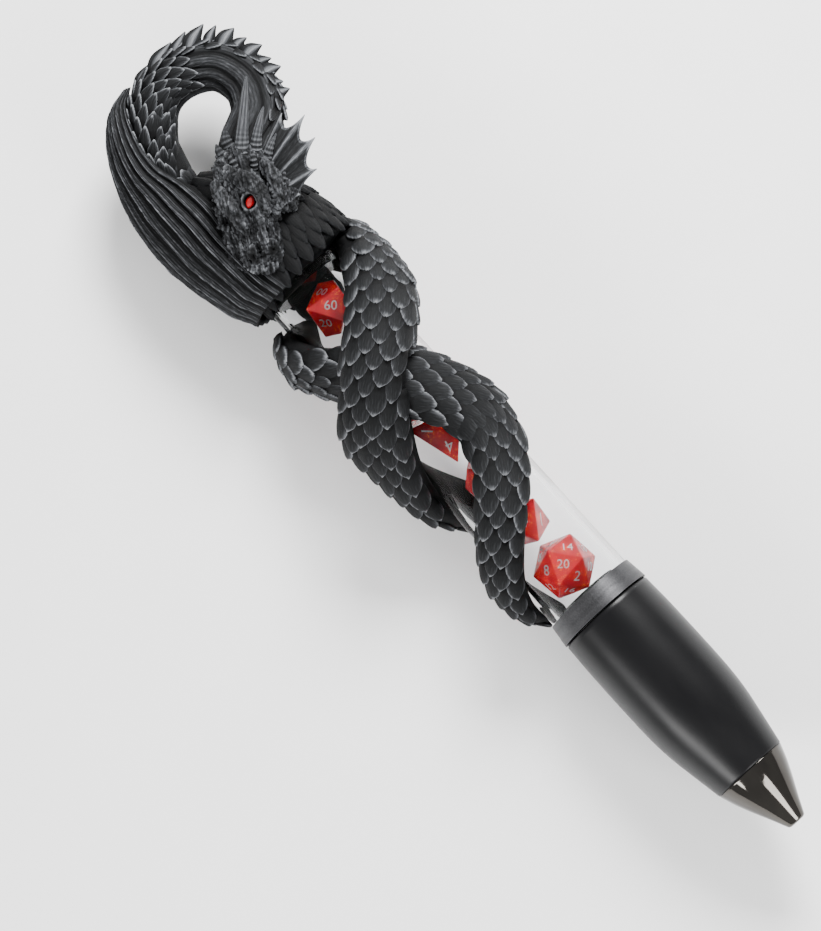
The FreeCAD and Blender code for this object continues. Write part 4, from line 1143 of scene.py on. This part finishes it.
def plain_solid(node_name):
    """A frame part's mesh with its flat facets merged, in the shared frame."""
    part = nodes[node_name]
    work = bmesh.new()
    work.from_mesh(part.data)
    work.transform(part.matrix_world)
    bmesh.ops.remove_doubles(work, verts=work.verts, dist=0.01 * MM)
    bmesh.ops.dissolve_limit(work, angle_limit=math.radians(2), verts=work.verts, edges=work.edges)
    work.normal_update()
    return work


for node_name in ("die_00", "die_12", "die_6", "die_4", "die_10", "die_8", "die_20"):
    work = plain_solid(node_name)
    faces = [(f.calc_center_median_weighted(), f.normal.copy(), [v.co.copy() for v in f.verts]) for f in work.faces]
    faces.sort(key=lambda face: (-round(face[1].z, 3), round(face[1].x, 3), round(face[1].y, 3)))
    bmesh.ops.bevel(work, geom=work.edges, offset=EDGE_ROUND, segments=2, profile=0.6, affect="EDGES")
    mesh = bpy.data.meshes.new(node_name + "_resin")
    work.to_mesh(mesh)
    work.free()
    outwards(mesh)
    die = new_object("glitter_" + node_name, mesh)
    die.data.materials.append(red_dice)
    numbers = []
    for n, (centre, outward, corners) in enumerate(faces):
        sides = [(a - centre, b - a) for a, b in zip(corners, corners[1:] + corners[:1])]
        room = min(start.cross(side).length / side.length for start, side in sides)
        if node_name == "die_4":
            for k, corner in enumerate(corners):
                numbers.append(printed(CORNER_MARKS[(n + k) % 4], centre + (corner - centre) * 0.42, outward,
                                       corner - centre, room * 0.95))
            continue
        words = FACE_MARKS[node_name][n]
        numbers.append(printed(words, centre, outward, READ_UP, room * (1.25 if len(words) > 1 else 1.5)))
    joined(die, *numbers)
    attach(die, node_name)
    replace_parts(die, node_name)
for pattern in [thing for thing in bpy.data.objects if thing.name.endswith("_scale")]:
    bpy.data.objects.remove(pattern)


# ---------------------------------------------------------------- table, lights and camera
# A plain pale table under plain soft studio lights. The camera looks down on the pen, tipped a little
# towards its nose, with the pen lying slantwise across the view.
table_top, shader = new_material("table_top")
speckle = noise(table_top, 20)
tint(table_top, shader, "Base Color", speckle, (0.3, (0.93, 0.93, 0.93)), (0.7, (0.96, 0.96, 0.96)))
shader.inputs["Roughness"].default_value = 0.6
TABLE_HALF = 2.0
floor = finished_mesh("table", [(x * TABLE_HALF, y * TABLE_HALF, 0) for x, y in ((-1, -1), (1, -1), (1, 1), (-1, 1))],
                      [(0, 1, 2, 3)])
floor.data.materials.append(table_top)

world = bpy.data.worlds.new("studio")
world.use_nodes = True
world.node_tree.nodes["Background"].inputs["Color"].default_value = (1, 1, 1, 1)
world.node_tree.nodes["Background"].inputs["Strength"].default_value = 0.62
bpy.context.scene.world = world


def soft_light(name, place, width, height, power, aim=(0.05, 0, AXIS)):
    """A rectangular studio light aimed at the pen."""
    lamp = bpy.data.lights.new(name, "AREA")
    lamp.shape = "RECTANGLE"
    lamp.size, lamp.size_y, lamp.energy = width, height, power
    holder = new_object(name, lamp)
    holder.location = place
    holder.rotation_euler = (Vector(aim) - Vector(place)).to_track_quat("-Z", "Y").to_euler()


soft_light("key", (-0.35, 0.5, 0.55), 0.35, 0.3, 21)
soft_light("fill", (0.35, -0.6, 0.4), 0.5, 0.2, 7)
soft_light("nose_side", (0.8, 0.15, 0.45), 0.3, 0.3, 5)

camera = bpy.data.cameras.new("camera")
camera.sensor_fit = "VERTICAL"
camera.sensor_height = 24
IMAGE_HEIGHT, DOTS_PER_MM = 931, 3.571
seen_height = IMAGE_HEIGHT / DOTS_PER_MM * MM
distance = 1.3
camera.lens = camera.sensor_height * distance / seen_height
tip = math.radians(7)
turn = math.radians(47.5)
aim = Vector((59.5 * MM, -12.9 * MM, AXIS))
across = Vector((math.cos(turn), math.sin(turn), 0))
back = Vector((math.sin(tip), 0, math.cos(tip)))
across = (across - back * across.dot(back)).normalized()
upward = back.cross(across)
stand = new_object("camera", camera)
stand.matrix_world = Matrix.Translation(aim + back * distance) @ Matrix((across, upward, back)).transposed().to_4x4()
bpy.context.scene.camera = stand
